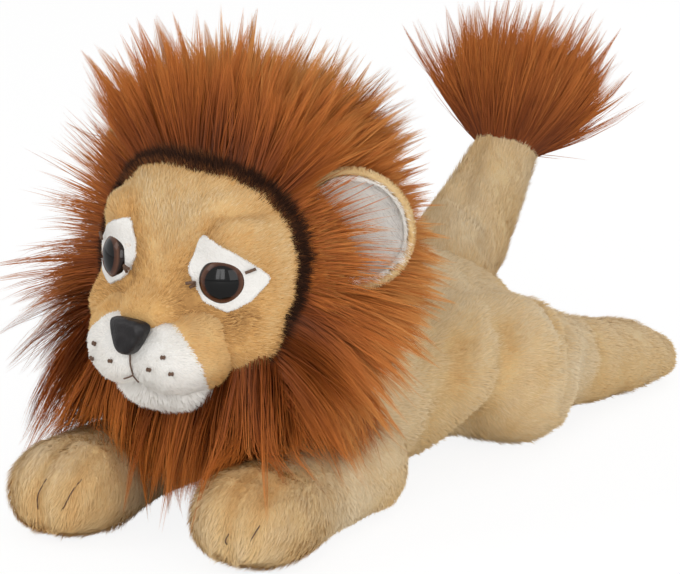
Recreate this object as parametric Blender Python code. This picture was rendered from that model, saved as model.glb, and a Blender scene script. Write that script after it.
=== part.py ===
"""A stuffed lion that lies on its belly: sewn covers over their filling, with eyes, ears, nose and mane.

The lion faces -Y, its own left side is +X, and the flat of its belly lies on Z = 0 at the origin.
"""

import math

import bmesh
import bpy
import numpy as np
from mathutils import Matrix, Vector
from mathutils.bvhtree import BVHTree

# Cloth, clearances and the flat on which a stuffed piece lies
CLOTH = 0.002
GAP = 0.0003
FLAT = 0.0005

# Torso: share of its length from the chest, then shares of its width and height
TORSO_LENGTH = 0.173
TORSO_WIDTH = 0.080
TORSO_HEIGHT = 0.064
TORSO_AHEAD = 0.078
TORSO_SHARES = (
    (0.13, 0.84, 0.88),
    (0.26, 0.97, 0.97),
    (0.42, 1.00, 1.00),
    (0.60, 0.97, 1.00),
    (0.76, 0.87, 0.92),
    (0.88, 0.68, 0.79),
)

# Head, about its own centre: it faces its own -Y, turned, nodded and tipped a little
HEAD_WIDTH = 0.084
HEAD_HEIGHT = 0.080
HEAD_DEPTH = 0.080
HEAD_AHEAD = 0.076
HEAD_UP = 0.083
HEAD_TURN = math.radians(-6)
HEAD_NOD = math.radians(6)
HEAD_TIP = math.radians(3.5)
HEAD_FRONT_SHARE = 0.48
HEAD_SHARES = ((0.42, 0.97, 1.00), (0.60, 1.00, 0.98))
NECK_WIDTH = 0.044

# Safety eyes with a stem and a locking washer, and the white patch that each sits in, in shares of the eye
EYE_WIDTH = 0.0148
EYE_BULGE = 0.0044
EYE_SEAT = 0.0010
EYE_SPLAY = math.radians(32.5)
EYE_RAISE = math.radians(9)
STEM_WIDTH = 0.0032
STEM_LENGTH = 0.0080
WASHER_WIDTH = 0.0110
WASHER_THICKNESS = 0.0012
PATCH_THICKNESS = 0.0010
PATCH_SHARES = (
    (-0.78, 0.22),
    (-0.42, 1.02),
    (0.30, 0.66),
    (1.04, 0.04),
    (0.60, -0.40),
    (0.11, -0.64),
    (-0.40, -0.40),
)

# Muzzle, chin and nose, placed from the head's centre
MUZZLE_WIDTH = 0.0300
MUZZLE_HEIGHT = 0.0260
MUZZLE_LENGTH = 0.0290
MUZZLE_SPREAD = 0.0160
MUZZLE_AHEAD_SHARE = 0.50
MUZZLE_DROP_SHARE = 0.22
CHIN_WIDTH = 0.0260
CHIN_HEIGHT = 0.0170
CHIN_LENGTH = 0.0230
CHIN_AHEAD_SHARE = 0.4625
CHIN_DROP_SHARE = 0.375
NOSE_WIDTH = 0.0150
NOSE_HEIGHT = 0.0115
NOSE_THICKNESS = 0.0062
NOSE_ROUNDING = 0.0022
NOSE_TAPER_SHARE = 0.42
NOSE_AHEAD_SHARE = 0.6625
NOSE_DROP_SHARE = 0.10

# Ears: cups on the sides of the head
EAR_WIDTH = 0.0370
EAR_HEIGHT = 0.0410
EAR_DEPTH = 0.0090
EAR_CLOTH = 0.0022
EAR_ROOM = 0.0040
EAR_ROOM_DEPTH = 0.0450
EAR_OUT = 0.0440
EAR_BACK = 0.0050
EAR_UP = 0.0180
EAR_SPLAY = math.radians(24)
LINING = 0.0013

# The dark strip between face and mane
TRIM_AHEAD_SHARE = 0.26875
TRIM_WIDTH = 0.0045
TRIM_THICKNESS = 0.0024

# The mane's section at the crown and under the chin, as (ahead of the head's centre, out from it)
MANE_SECTION = (
    (0.0166, 0.0430),
    (0.0128, 0.0600),
    (0.0060, 0.0735),
    (-0.0120, 0.0700),
    (-0.0320, 0.0590),
    (-0.0510, 0.0430),
)
BIB_SECTION = (
    (0.0370, 0.0280),
    (0.0480, 0.0500),
    (0.0480, 0.0660),
    (0.0380, 0.0640),
    (0.0240, 0.0560),
    (0.0020, 0.0460),
)
MANE_INNER = ((0.0166, 0), (-0.0540, 0))
BIB_INNER = ((0.0280, 0.0100), (0.0000, 0.0120))
LOCK_SHARES = (0, 0.3, 1, 0.8, 0.2, 0)
MANE_LOCK = 0.0120
MANE_LOCKS = 30
BIB_START_SHARE = 0.15
BIB_SPREAD = math.radians(32)

# Front legs, from the pivot in the shoulder: outward, ahead, half width, half height, lift off the ground
SHOULDER_WIDTH = 0.0330
SHOULDER_AHEAD = 0.0550
SHOULDER_OUT = 0.0340
FRONT_LEG = (
    (0.0000, 0.0200, 0.0152, 0.0155, 0.0000),
    (-0.0005, 0.0360, 0.0160, 0.0152, 0.0000),
    (-0.0010, 0.0520, 0.0195, 0.0152, 0.0000),
    (-0.0010, 0.0650, 0.0200, 0.0155, 0.0000),
)

# Hind legs, stretched out behind, from the pivot in the haunch, in the same five measures
HAUNCH_WIDTH = 0.0490
HAUNCH_BEHIND = 0.0370
HAUNCH_OUT = 0.0385
HIND_LEG = (
    (0.0000, 0.0180, 0.0205, 0.0208, 0.0030),
    (0.0015, 0.0350, 0.0160, 0.0155, 0.0050),
    (0.0040, 0.0570, 0.0150, 0.0145, 0.0010),
    (0.0075, 0.0820, 0.0145, 0.0135, 0.0000),
    (0.0090, 0.0970, 0.0125, 0.0115, 0.0000),
)

# Tail, from the pivot in its root: left, behind, up, half width
TAIL_WIDTH = 0.0370
TAIL_BEHIND = 0.0720
TAIL_UP = 0.0500
TAIL_TUBE = (
    (0.0000, 0.0120, 0.0090, 0.0170),
    (0.0010, 0.0270, 0.0200, 0.0142),
    (0.0010, 0.0430, 0.0340, 0.0122),
)

# The tail's tuft, from the tip of the tube: along, half width
TUFT = ((-0.0050, 0.0090), (0.0060, 0.0170), (0.0220, 0.0260), (0.0400, 0.0305))
TUFT_BACK = 0.0265
TUFT_RISE = 0.0440
TUFT_LENGTH = 0.0460
TUFT_LOCK = 0.0080
TUFT_LOCKS = 12

# How far each sewn limb swings about its seam
LEG_IN = math.radians(5)
LEG_OUT = math.radians(18)
TAIL_SWING = math.radians(15)
SWEEP_STEPS = 3

# Facets
OUTER_SIDES = 18
LIMB_SIDES = 14
INNER_SIDES = 8
DOME_RINGS = 3
EYE_SIDES = 16
EYE_RINGS = 6
EAR_RINGS = 5


UP = Vector((0, 0, 1))
SIDEWAYS = Vector((1, 0, 0))
SIDES = (("left", 1), ("right", -1))


def clear_scene():
    for old in list(bpy.data.objects):
        bpy.data.objects.remove(old)


def material(name, colour, roughness, metallic=0.0):
    made = bpy.data.materials.new(name)
    made.use_nodes = True
    shader = made.node_tree.nodes["Principled BSDF"]
    shader.inputs["Base Color"].default_value = (*colour, 1)
    shader.inputs["Roughness"].default_value = roughness
    shader.inputs["Metallic"].default_value = metallic
    return made


def frame(name, place):
    """An empty that carries pieces, so that their origin lies on their own centre or joint."""
    made = bpy.data.objects.new(name, None)
    made.matrix_world = place
    bpy.context.scene.collection.objects.link(made)
    return made


def object_of(name, bm, carrier=None):
    bmesh.ops.recalc_face_normals(bm, faces=bm.faces[:])
    mesh = bpy.data.meshes.new(name)
    bm.to_mesh(mesh)
    bm.free()
    mesh.shade_smooth()
    made = bpy.data.objects.new(name, mesh)
    made.parent = carrier
    bpy.context.scene.collection.objects.link(made)
    return made


def helper(made):
    """Marks a cutter or a guide, which is no piece of the lion."""
    made.hide_render = True
    made.display_type = "WIRE"
    return made


def boolean(piece, other, operation="DIFFERENCE", solver="EXACT"):
    modifier = piece.modifiers.new(f"{operation.lower()} {other.name}", "BOOLEAN")
    modifier.operation = operation
    modifier.solver = solver
    modifier.object = other


def stuffed_rings(stations, start_dome, end_dome, inset):
    """Centre, direction and half sizes of each ring of a stuffed form, and its two poles."""
    rows = np.array(stations, float)
    rows[:, 3:] -= inset
    along = np.gradient(rows[:, :3], axis=0)
    along /= np.linalg.norm(along, axis=1)[:, None]
    start_dome, end_dome = start_dome - inset, end_dome - inset
    turns = [math.pi / 2 * k / (DOME_RINGS + 1) for k in range(1, DOME_RINGS + 1)]
    rings = [
        (rows[0, :3] - along[0] * start_dome * math.sin(t), along[0], rows[0, 3:] * math.cos(t))
        for t in reversed(turns)
    ]
    rings += [(row[:3], way, row[3:]) for row, way in zip(rows, along)]
    rings += [
        (rows[-1, :3] + along[-1] * end_dome * math.sin(t), along[-1], rows[-1, 3:] * math.cos(t))
        for t in turns
    ]
    poles = rows[0, :3] - along[0] * start_dome, rows[-1, :3] + along[-1] * end_dome
    return rings, poles


def stuffed_form(name, stations, domes, sides, inset=0.0, carrier=None):
    """A closed form that swells and tapers along its stations: (x, y, z, half width, half height)."""
    rings, poles = stuffed_rings(stations, *domes, inset)
    bm = bmesh.new()
    loops = []
    for centre, way, (wide, high) in rings:
        ahead = Vector(way)
        side = ahead.cross(UP).normalized()
        turned = Matrix((side, side.cross(ahead), ahead)).transposed().to_4x4()
        place = Matrix.Translation(centre) @ turned @ Matrix.Diagonal((wide, high, 1, 1))
        made = bmesh.ops.create_circle(bm, segments=sides, radius=1, matrix=place)
        loops.append(list({edge for vert in made["verts"] for edge in vert.link_edges}))
    for near, far in zip(loops, loops[1:]):
        bmesh.ops.bridge_loops(bm, edges=near + far)
    for loop, pole in ((loops[0], poles[0]), (loops[-1], poles[1])):
        drawn = bmesh.ops.extrude_edge_only(bm, edges=loop)
        tip = [part for part in drawn["geom"] if isinstance(part, bmesh.types.BMVert)]
        bmesh.ops.pointmerge(bm, verts=tip, merge_co=Vector(pole))
    bmesh.ops.triangulate(bm, faces=bm.faces[:], quad_method="FIXED")
    return object_of(name, bm, carrier)


def ball(name, centre, sizes, sides, carrier=None, turn=None):
    """A ball or an egg of the given full sizes."""
    place = Matrix.Translation(centre) @ (turn or Matrix.Identity(4))
    place = place @ Matrix.Diagonal((*[size / 2 for size in sizes], 1))
    bm = bmesh.new()
    bmesh.ops.create_uvsphere(bm, u_segments=sides, v_segments=sides // 2, radius=1, matrix=place)
    return object_of(name, bm, carrier)


def block(name, low, high, carrier=None):
    """A box between two corners, used to trim other pieces."""
    low, high = Vector(low), Vector(high)
    place = Matrix.Translation((low + high) / 2) @ Matrix.Diagonal((*(high - low), 1))
    bm = bmesh.new()
    bmesh.ops.create_cube(bm, size=1, matrix=place)
    return helper(object_of(name, bm, carrier))


def rod(name, start, way, width, length, sides, carrier=None):
    """A round bar from a point along a direction."""
    turned = way.to_track_quat("Z", "Y").to_matrix().to_4x4()
    place = Matrix.Translation(start + way * length / 2) @ turned
    bm = bmesh.new()
    bmesh.ops.create_cone(
        bm, cap_ends=True, segments=sides, radius1=width / 2, radius2=width / 2, depth=length, matrix=place
    )
    return object_of(name, bm, carrier)


def boolean_swept(piece, cutter, pivot, axis, turns):
    """Cuts a piece with another one in each place that it takes as the two turn about a pivot."""
    for index, turn in enumerate(turns):
        copy = helper(cutter.copy())
        copy.name = f"{cutter.name}_{index}"
        about = Matrix.Translation(pivot) @ Matrix.Rotation(turn, 4, axis)
        copy.matrix_world = about @ Matrix.Translation(-pivot)
        bpy.context.scene.collection.objects.link(copy)
        boolean(piece, copy)


def spaced(low, high, count):
    return [low + (high - low) * k / (count - 1) for k in range(count)]


clear_scene()
TAN_PLUSH = material("tan_plush", (0.62, 0.44, 0.22), 0.9)
WHITE_PLUSH = material("white_plush", (0.86, 0.84, 0.78), 0.9)
MANE_FUR = material("mane_fur", (0.34, 0.11, 0.03), 0.8)
DARK_FUR = material("dark_fur", (0.035, 0.018, 0.012), 0.85)
EYE_PLASTIC = material("eye_plastic", (0.03, 0.012, 0.008), 0.08)
WASHER_PLASTIC = material("washer_plastic", (0.75, 0.75, 0.72), 0.5)
NOSE_LEATHER = material("nose_leather", (0.03, 0.026, 0.028), 0.45)
FILLING = material("filling", (0.85, 0.85, 0.85), 1.0)

FLOOR = block(
    "floor_cut",
    (-TORSO_LENGTH, -TORSO_LENGTH * 2, -TORSO_HEIGHT),
    (TORSO_LENGTH, TORSO_LENGTH * 2, 0),
)


def torso_form(name, sides, inset):
    stations = [
        (
            0,
            along * TORSO_LENGTH - TORSO_AHEAD,
            high * TORSO_HEIGHT / 2 - FLAT,
            wide * TORSO_WIDTH / 2,
            high * TORSO_HEIGHT / 2,
        )
        for along, wide, high in TORSO_SHARES
    ]
    domes = (TORSO_SHARES[0][0] * TORSO_LENGTH, (1 - TORSO_SHARES[-1][0]) * TORSO_LENGTH)
    return stuffed_form(name, stations, domes, sides, inset)


HEAD = frame(
    "head_frame",
    Matrix.Translation((0, -HEAD_AHEAD, HEAD_UP))
    @ Matrix.Rotation(HEAD_TURN, 4, "Z")
    @ Matrix.Rotation(HEAD_TIP, 4, "Y")
    @ Matrix.Rotation(HEAD_NOD, 4, "X"),
)


def head_form(name, sides, inset):
    stations = [
        (0, (along - HEAD_FRONT_SHARE) * HEAD_DEPTH, 0, wide * HEAD_WIDTH / 2, high * HEAD_HEIGHT / 2)
        for along, wide, high in HEAD_SHARES
    ]
    domes = (HEAD_SHARES[0][0] * HEAD_DEPTH, (1 - HEAD_SHARES[-1][0]) * HEAD_DEPTH)
    return stuffed_form(name, stations, domes, sides, inset, HEAD)


def on_form(form, way):
    """Where a ray from the form's own origin leaves it."""
    tree = BVHTree.FromPolygons(
        [vert.co for vert in form.data.vertices], [face.vertices for face in form.data.polygons]
    )
    return tree.ray_cast(Vector(), way)[0]


class Limb:
    """A stuffed limb that turns about its seam: on a ball of filling, seated in the torso's dimple."""

    def __init__(self, name, pivot, width, axis, rows, swing):
        self.name = name
        self.pivot = Vector(pivot)
        self.width = width
        self.axis = axis
        self.rows = [(0, 0, 0, width / 2, width / 2), *rows]
        self.swing = swing
        self.joint = frame(f"{name}_joint", Matrix.Translation(self.pivot))

    def form(self, name, sides, inset, carrier=None):
        return stuffed_form(name, self.rows, (self.width / 2, self.rows[-1][3]), sides, inset, carrier)

    def ball(self, name, sides, more, carrier=None):
        centre = Vector() if carrier else self.pivot
        return ball(name, centre, [self.width + 2 * more] * 3, sides, carrier)

    def socket(self, name, more):
        """A hollow whose flat facets stay clear of the ball's corners as it turns."""
        wide = (self.width + 2 * more) / math.cos(math.pi / LIMB_SIDES)
        return helper(ball(name, self.pivot, [wide] * 3, LIMB_SIDES))


def leg(name, side, pivot, width, table, along, turn):
    """A leg that lies on the ground and swings level, outward for a positive turn."""
    lie = -width / 2
    rows = [(side * out, along * far, lie + lift + high, wide, high) for out, far, wide, high, lift in table]
    return Limb(name, (*pivot, width / 2 - FLAT), width, UP * side * turn, rows, (-LEG_IN, LEG_OUT))


LIMBS = []
for word, side in SIDES:
    shoulder = (side * SHOULDER_OUT, -SHOULDER_AHEAD)
    haunch = (side * HAUNCH_OUT, HAUNCH_BEHIND)
    LIMBS.append(leg(f"front_leg_{word}", side, shoulder, SHOULDER_WIDTH, FRONT_LEG, -1, 1))
    LIMBS.append(leg(f"hind_leg_{word}", side, haunch, HAUNCH_WIDTH, HIND_LEG, 1, -1))
TAIL_ROWS = [(left, far, high, half, half) for left, far, high, half in TAIL_TUBE]
TAIL = Limb("tail", (0, TAIL_BEHIND, TAIL_UP), TAIL_WIDTH, SIDEWAYS, TAIL_ROWS, (-TAIL_SWING, TAIL_SWING))
LIMBS.append(TAIL)


def make_limb(limb):
    """A limb's cover, open at its root, and its filling, cut clear of the torso all through the swing."""
    turns = [-turn for turn in spaced(*limb.swing, SWEEP_STEPS)]
    solids = []
    for index, (inset, sides) in enumerate(
        ((0.0, LIMB_SIDES), (CLOTH, INNER_SIDES), (CLOTH + GAP, INNER_SIDES))
    ):
        clear = helper(torso_form(f"{limb.name}_clear_{index}", OUTER_SIDES, -GAP - inset))
        solid = limb.form(f"{limb.name}_form_{index}", sides, inset, limb.joint)
        boolean_swept(solid, clear, limb.pivot, limb.axis, turns)
        boolean(solid, helper(limb.ball(f"{limb.name}_ball_{index}", sides, -inset, limb.joint)), "UNION")
        solids.append(solid)
    cover, hollow, filling = solids
    boolean(cover, helper(hollow))
    inward = -UP if limb is TAIL else Vector((-limb.pivot.x, 0, 0)).normalized()
    mouth = rod(f"{limb.name}_mouth", Vector(), inward, limb.width / 2, limb.width, INNER_SIDES, limb.joint)
    boolean(cover, helper(mouth))
    boolean(cover, FLOOR)
    cover.name, filling.name = f"{limb.name}_cover", f"{limb.name}_stuffing"
    cover.data.materials.append(TAN_PLUSH)
    filling.data.materials.append(FILLING)


# Torso: the cloth cover dips round each ball, and the filling dips with it
body_cover = torso_form("body_cover", OUTER_SIDES, 0.0)
body_hollow = helper(torso_form("body_hollow", INNER_SIDES, CLOTH))
body_stuffing = torso_form("body_stuffing", INNER_SIDES, CLOTH + GAP)
head_clear = helper(head_form("head_clear", OUTER_SIDES, -GAP))
for limb in LIMBS:
    for solid, more in ((body_cover, GAP), (body_hollow, GAP + CLOTH), (body_stuffing, 2 * GAP + CLOTH)):
        boolean(solid, limb.socket(f"{limb.name}_socket_in_{solid.name}", more))
boolean(body_cover, body_hollow)
boolean(body_cover, head_clear)
boolean(body_stuffing, head_clear)
boolean(body_cover, FLOOR)
body_cover.data.materials.append(TAN_PLUSH)
body_stuffing.data.materials.append(FILLING)

for limb in LIMBS:
    make_limb(limb)

# Head: its cover is open at the neck, towards the torso
head_cover = head_form("head_cover", OUTER_SIDES, 0.0)
head_surface = helper(head_form("head_surface", OUTER_SIDES, 0.0))
head_hollow = helper(head_form("head_hollow", INNER_SIDES, CLOTH))
head_stuffing = head_form("head_stuffing", INNER_SIDES, CLOTH + GAP)
boolean(head_cover, head_hollow)
neck_way = Vector((0, 1, -1)).normalized()
neck = rod("neck_opening", Vector(), neck_way, NECK_WIDTH, HEAD_HEIGHT, OUTER_SIDES, HEAD)
boolean(head_cover, helper(neck))
head_cover.data.materials.append(TAN_PLUSH)
head_stuffing.data.materials.append(FILLING)


def turned_profile(name, rows, base, way, sides, carrier):
    """A turned piece: rows of (radius, height above the base) spun about a direction."""
    place = Matrix.Translation(base) @ way.to_track_quat("Z", "Y").to_matrix().to_4x4()
    bm = bmesh.new()
    verts = [bm.verts.new((radius, 0, height)) for radius, height in rows]
    edges = [bm.edges.new(pair) for pair in zip(verts, verts[1:])]
    bmesh.ops.spin(
        bm, geom=verts + edges, cent=(0, 0, 0), axis=(0, 0, 1), angle=2 * math.pi, steps=sides, use_merge=True
    )
    bmesh.ops.remove_doubles(bm, verts=bm.verts[:], dist=GAP / 10)
    bmesh.ops.transform(bm, matrix=place, verts=bm.verts[:])
    return object_of(name, bm, carrier)


def eye_rows():
    """A domed lens on a flat back with its stem."""
    lens, stem = EYE_WIDTH / 2, STEM_WIDTH / 2
    dome = [(lens * math.cos(t), EYE_BULGE * math.sin(t)) for t in spaced(0, math.pi / 2, EYE_RINGS)]
    dome[-1] = (0, EYE_BULGE)
    return [(0, -STEM_LENGTH), (stem, -STEM_LENGTH), (stem, 0), *dome]


def make_eye(word, side):
    way = Vector(
        (
            side * math.sin(EYE_SPLAY) * math.cos(EYE_RAISE),
            -math.cos(EYE_SPLAY) * math.cos(EYE_RAISE),
            math.sin(EYE_RAISE),
        )
    )
    touch = on_form(head_surface, way)
    base = touch - way * EYE_SEAT
    eye = turned_profile(f"eye_{word}", eye_rows(), base, way, EYE_SIDES, HEAD)
    eye.data.materials.append(EYE_PLASTIC)

    lens_room, stem_room, washer_room = [width + 2 * GAP for width in (EYE_WIDTH, STEM_WIDTH, WASHER_WIDTH)]
    inside = touch - way * CLOTH
    seat = rod(f"eye_seat_{word}", base - way * GAP, way, lens_room, EYE_WIDTH, OUTER_SIDES, HEAD)
    bore = rod(f"eye_bore_{word}", base, -way, stem_room, STEM_LENGTH + GAP, INNER_SIDES, HEAD)
    pocket = rod(f"eye_pocket_{word}", inside, -way, washer_room, STEM_LENGTH, OUTER_SIDES, HEAD)
    for cutter in (seat, bore, pocket):
        boolean(head_cover, helper(cutter))
    boolean(head_stuffing, pocket)
    boolean(head_stuffing, bore)

    inner, outer = STEM_WIDTH / 2 + GAP, WASHER_WIDTH / 2
    ring = [(inner, 0), (outer, 0), (outer, WASHER_THICKNESS), (inner, WASHER_THICKNESS), (inner, 0)]
    washer = turned_profile(f"eye_washer_{word}", ring, inside - way * GAP, -way, EYE_SIDES, HEAD)
    washer.data.materials.append(WASHER_PLASTIC)

    patch = head_form(f"eye_patch_{word}", OUTER_SIDES, -GAP - PATCH_THICKNESS)
    boolean(patch, head_clear)
    turned = way.to_track_quat("Z", "Y").to_matrix().to_4x4()
    turned = Matrix.Translation(touch - way * EYE_WIDTH / 2) @ turned
    bm = bmesh.new()
    corners = [
        bm.verts.new(turned @ Vector((side * across * EYE_WIDTH, up * EYE_WIDTH, 0)))
        for across, up in PATCH_SHARES
    ]
    drawn = bmesh.ops.extrude_face_region(bm, geom=[bm.faces.new(corners)])
    moved = [part for part in drawn["geom"] if isinstance(part, bmesh.types.BMVert)]
    bmesh.ops.translate(bm, verts=moved, vec=way * EYE_WIDTH)
    boolean(patch, helper(object_of(f"eye_patch_outline_{word}", bm, HEAD)), "INTERSECT")
    boolean(patch, seat)
    patch.data.materials.append(WHITE_PLUSH)


for word, side in SIDES:
    make_eye(word, side)


def on_face(out, ahead, drop):
    """A point before the head's centre, at shares of the head's depth and height."""
    return Vector((out, -ahead * HEAD_DEPTH, -drop * HEAD_HEIGHT))


def nose_block(name, more):
    """A padded wedge, wide at the top and narrow at its lower tip, larger all round by a margin."""
    size = Vector((NOSE_WIDTH, NOSE_THICKNESS, NOSE_HEIGHT)) + Vector((1, 1, 1)) * 2 * more
    bm = bmesh.new()
    bmesh.ops.create_cube(bm, size=1, matrix=Matrix.Diagonal((*size, 1)))
    for vert in bm.verts:
        if vert.co.z < 0:
            vert.co.x *= NOSE_TAPER_SHARE
    place = on_face(0, NOSE_AHEAD_SHARE, NOSE_DROP_SHARE)
    bmesh.ops.translate(bm, verts=bm.verts[:], vec=place)
    made = object_of(name, bm, HEAD)
    rounding = made.modifiers.new("rounding", "BEVEL")
    rounding.width = NOSE_ROUNDING
    rounding.segments = 3
    return made


nose = nose_block("nose", 0.0)
nose.data.materials.append(NOSE_LEATHER)
nose_clear = helper(nose_block("nose_clear", GAP))


def muzzle_ball(name, side, more):
    sizes = [size + 2 * more for size in (MUZZLE_WIDTH, MUZZLE_LENGTH, MUZZLE_HEIGHT)]
    place = on_face(side * MUZZLE_SPREAD / 2, MUZZLE_AHEAD_SHARE, MUZZLE_DROP_SHARE)
    return ball(name, place, sizes, LIMB_SIDES, HEAD)


def chin_ball(name, more):
    sizes = [size + 2 * more for size in (CHIN_WIDTH, CHIN_LENGTH, CHIN_HEIGHT)]
    return ball(name, on_face(0, CHIN_AHEAD_SHARE, CHIN_DROP_SHARE), sizes, LIMB_SIDES, HEAD)


chin = chin_ball("chin", 0.0)
face_clears = [helper(chin_ball("chin_clear", GAP))]
boolean(chin, head_clear)
for word, side in SIDES:
    muzzle = muzzle_ball(f"muzzle_{word}", side, 0.0)
    boolean(muzzle, head_clear)
    boolean(muzzle, nose_clear)
    near, far = sorted((-side * HEAD_WIDTH, side * GAP / 2))
    low, high = (near, -HEAD_DEPTH, -HEAD_HEIGHT), (far, HEAD_DEPTH, HEAD_HEIGHT)
    boolean(muzzle, block(f"muzzle_split_{word}", low, high, HEAD))
    muzzle_clear = helper(muzzle_ball(f"muzzle_clear_{word}", side, GAP))
    face_clears.append(muzzle_clear)
    boolean(chin, muzzle_clear)
    muzzle.data.materials.append(WHITE_PLUSH)
chin.data.materials.append(WHITE_PLUSH)


def trim_solid(name, thickness, width):
    """The part of a shell round the head that lies between two planes across it."""
    made = head_form(name, OUTER_SIDES, -thickness)
    middle = -TRIM_AHEAD_SHARE * HEAD_DEPTH + TRIM_WIDTH / 2
    slab = block(
        f"{name}_slab",
        (-HEAD_WIDTH, middle - width / 2, -HEAD_HEIGHT),
        (HEAD_WIDTH, middle + width / 2, HEAD_HEIGHT),
        HEAD,
    )
    boolean(made, slab, "INTERSECT")
    return made


face_trim = trim_solid("face_trim", GAP + TRIM_THICKNESS, TRIM_WIDTH)
boolean(face_trim, head_clear)
face_trim.data.materials.append(DARK_FUR)
trim_clear = helper(trim_solid("trim_clear", 2 * GAP + TRIM_THICKNESS, TRIM_WIDTH + 2 * GAP))

# Ears: each is a cup of cloth with a pale lining, sewn down on the head
EAR_SCALE = Matrix.Diagonal((EAR_WIDTH / EAR_HEIGHT, 1, 1, 1))


def cup_rows(outer, depth, thickness):
    """A cup's section, from the middle of its back out to the rim and back in along the hollow."""
    turns = spaced(0, math.pi / 2, EAR_RINGS)
    back = [(outer * math.sin(t), -depth * math.cos(t)) for t in turns]
    inner, hollow = outer - thickness, depth - thickness
    front = [(inner * math.sin(t), -hollow * math.cos(t)) for t in reversed(turns)]
    return [(0, -depth), *back[1:], *front[:-1], (0, -hollow)]


ear_clears = []
for word, side in SIDES:
    place = Vector((side * EAR_OUT, EAR_BACK, EAR_UP))
    turn = Matrix.Rotation(side * EAR_SPLAY, 4, UP)
    ahead = (turn @ Vector((0, -1, 0, 0))).to_3d()
    narrow = Matrix.Translation(place) @ turn @ EAR_SCALE @ turn.inverted() @ Matrix.Translation(-place)
    outer = EAR_HEIGHT / 2
    back = turned_profile(
        f"ear_back_{word}", cup_rows(outer, EAR_DEPTH, EAR_CLOTH), place, ahead, LIMB_SIDES, HEAD
    )
    fit = EAR_CLOTH + GAP
    lining = turned_profile(
        f"ear_lining_{word}", cup_rows(outer - fit, EAR_DEPTH - fit, LINING), place, ahead, LIMB_SIDES, HEAD
    )
    for piece, colour in ((back, TAN_PLUSH), (lining, WHITE_PLUSH)):
        piece.data.transform(narrow)
        boolean(piece, head_clear)
        piece.data.materials.append(colour)
    room = (EAR_WIDTH + 2 * EAR_ROOM, EAR_ROOM_DEPTH, EAR_HEIGHT + 2 * EAR_ROOM)
    middle = place + ahead * EAR_DEPTH / 2
    ear_clears.append(helper(ball(f"ear_clear_{word}", middle, room, LIMB_SIDES, HEAD, turn)))


def mane_profile(turn, lock):
    """The mane's section at an angle from the crown, as (ahead, out) points. lock is 1 at a lock's tip."""
    low = max(0.0, min(1.0, (-math.cos(turn) - BIB_START_SHARE) / (1 - BIB_START_SHARE)))
    low = low * low * (3 - 2 * low)
    short = MANE_LOCK * (1 - lock)
    rows = []
    for index, (high, under) in enumerate(zip(MANE_SECTION, BIB_SECTION)):
        ahead = high[0] + (under[0] - high[0]) * low
        out = high[1] + (under[1] - high[1]) * low
        rows.append((ahead, out - short * LOCK_SHARES[index]))
    return rows


def mane_sector(name, start, end, locks, inner, shift):
    """A length of the mane between two angles from the crown, its outer edge drawn into pointed locks."""
    bm = bmesh.new()
    columns = []
    for index, turn in enumerate(spaced(start, end, 2 * locks + 1)):
        rows = (inner[0], *mane_profile(turn, index % 2), inner[1])
        columns.append(
            [bm.verts.new((out * math.sin(turn), -ahead, out * math.cos(turn))) for ahead, out in rows]
        )
    for near, far in zip(columns, columns[1:]):
        for k in range(len(near)):
            bm.faces.new((near[k - 1], near[k], far[k], far[k - 1]))
    bm.faces.new(columns[0])
    bm.faces.new(columns[-1])
    bmesh.ops.remove_doubles(bm, verts=bm.verts[:], dist=GAP / 10)
    bmesh.ops.triangulate(bm, faces=bm.faces[:])
    bmesh.ops.translate(bm, verts=bm.verts[:], vec=shift)
    made = object_of(name, bm, HEAD)
    made.data.materials.append(MANE_FUR)
    return made


body_clear = helper(torso_form("body_clear", OUTER_SIDES, -GAP))
leg_sweeps = []
for limb in LIMBS:
    if limb.name.startswith("front_leg"):
        for index, turn in enumerate(spaced(*limb.swing, 2 * SWEEP_STEPS - 1)):
            leg_there = limb.form(f"{limb.name}_swung_{index}", LIMB_SIDES, -2 * GAP)
            leg_there.matrix_world = Matrix.Translation(limb.pivot) @ Matrix.Rotation(turn, 4, limb.axis)
            leg_sweeps.append(helper(leg_there))

lower = math.pi - BIB_SPREAD
side_locks = round(MANE_LOCKS * lower / (2 * math.pi))
bib_locks = round(MANE_LOCKS * BIB_SPREAD / math.pi)
apart = SIDEWAYS * GAP / 2
mane_pieces = [
    mane_sector("mane_left", 0, lower, side_locks, MANE_INNER, apart),
    mane_sector("mane_right", -lower, 0, side_locks, MANE_INNER, -apart),
    mane_sector("mane_bib", lower, 2 * math.pi - lower, bib_locks, BIB_INNER, -UP * GAP),
]
for piece in mane_pieces:
    for cutter in (head_clear, trim_clear, *face_clears, *ear_clears, *leg_sweeps):
        boolean(piece, cutter)
    # The exact solver drops the bib at some torso lengths
    boolean(piece, body_clear, solver="MANIFOLD")


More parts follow.
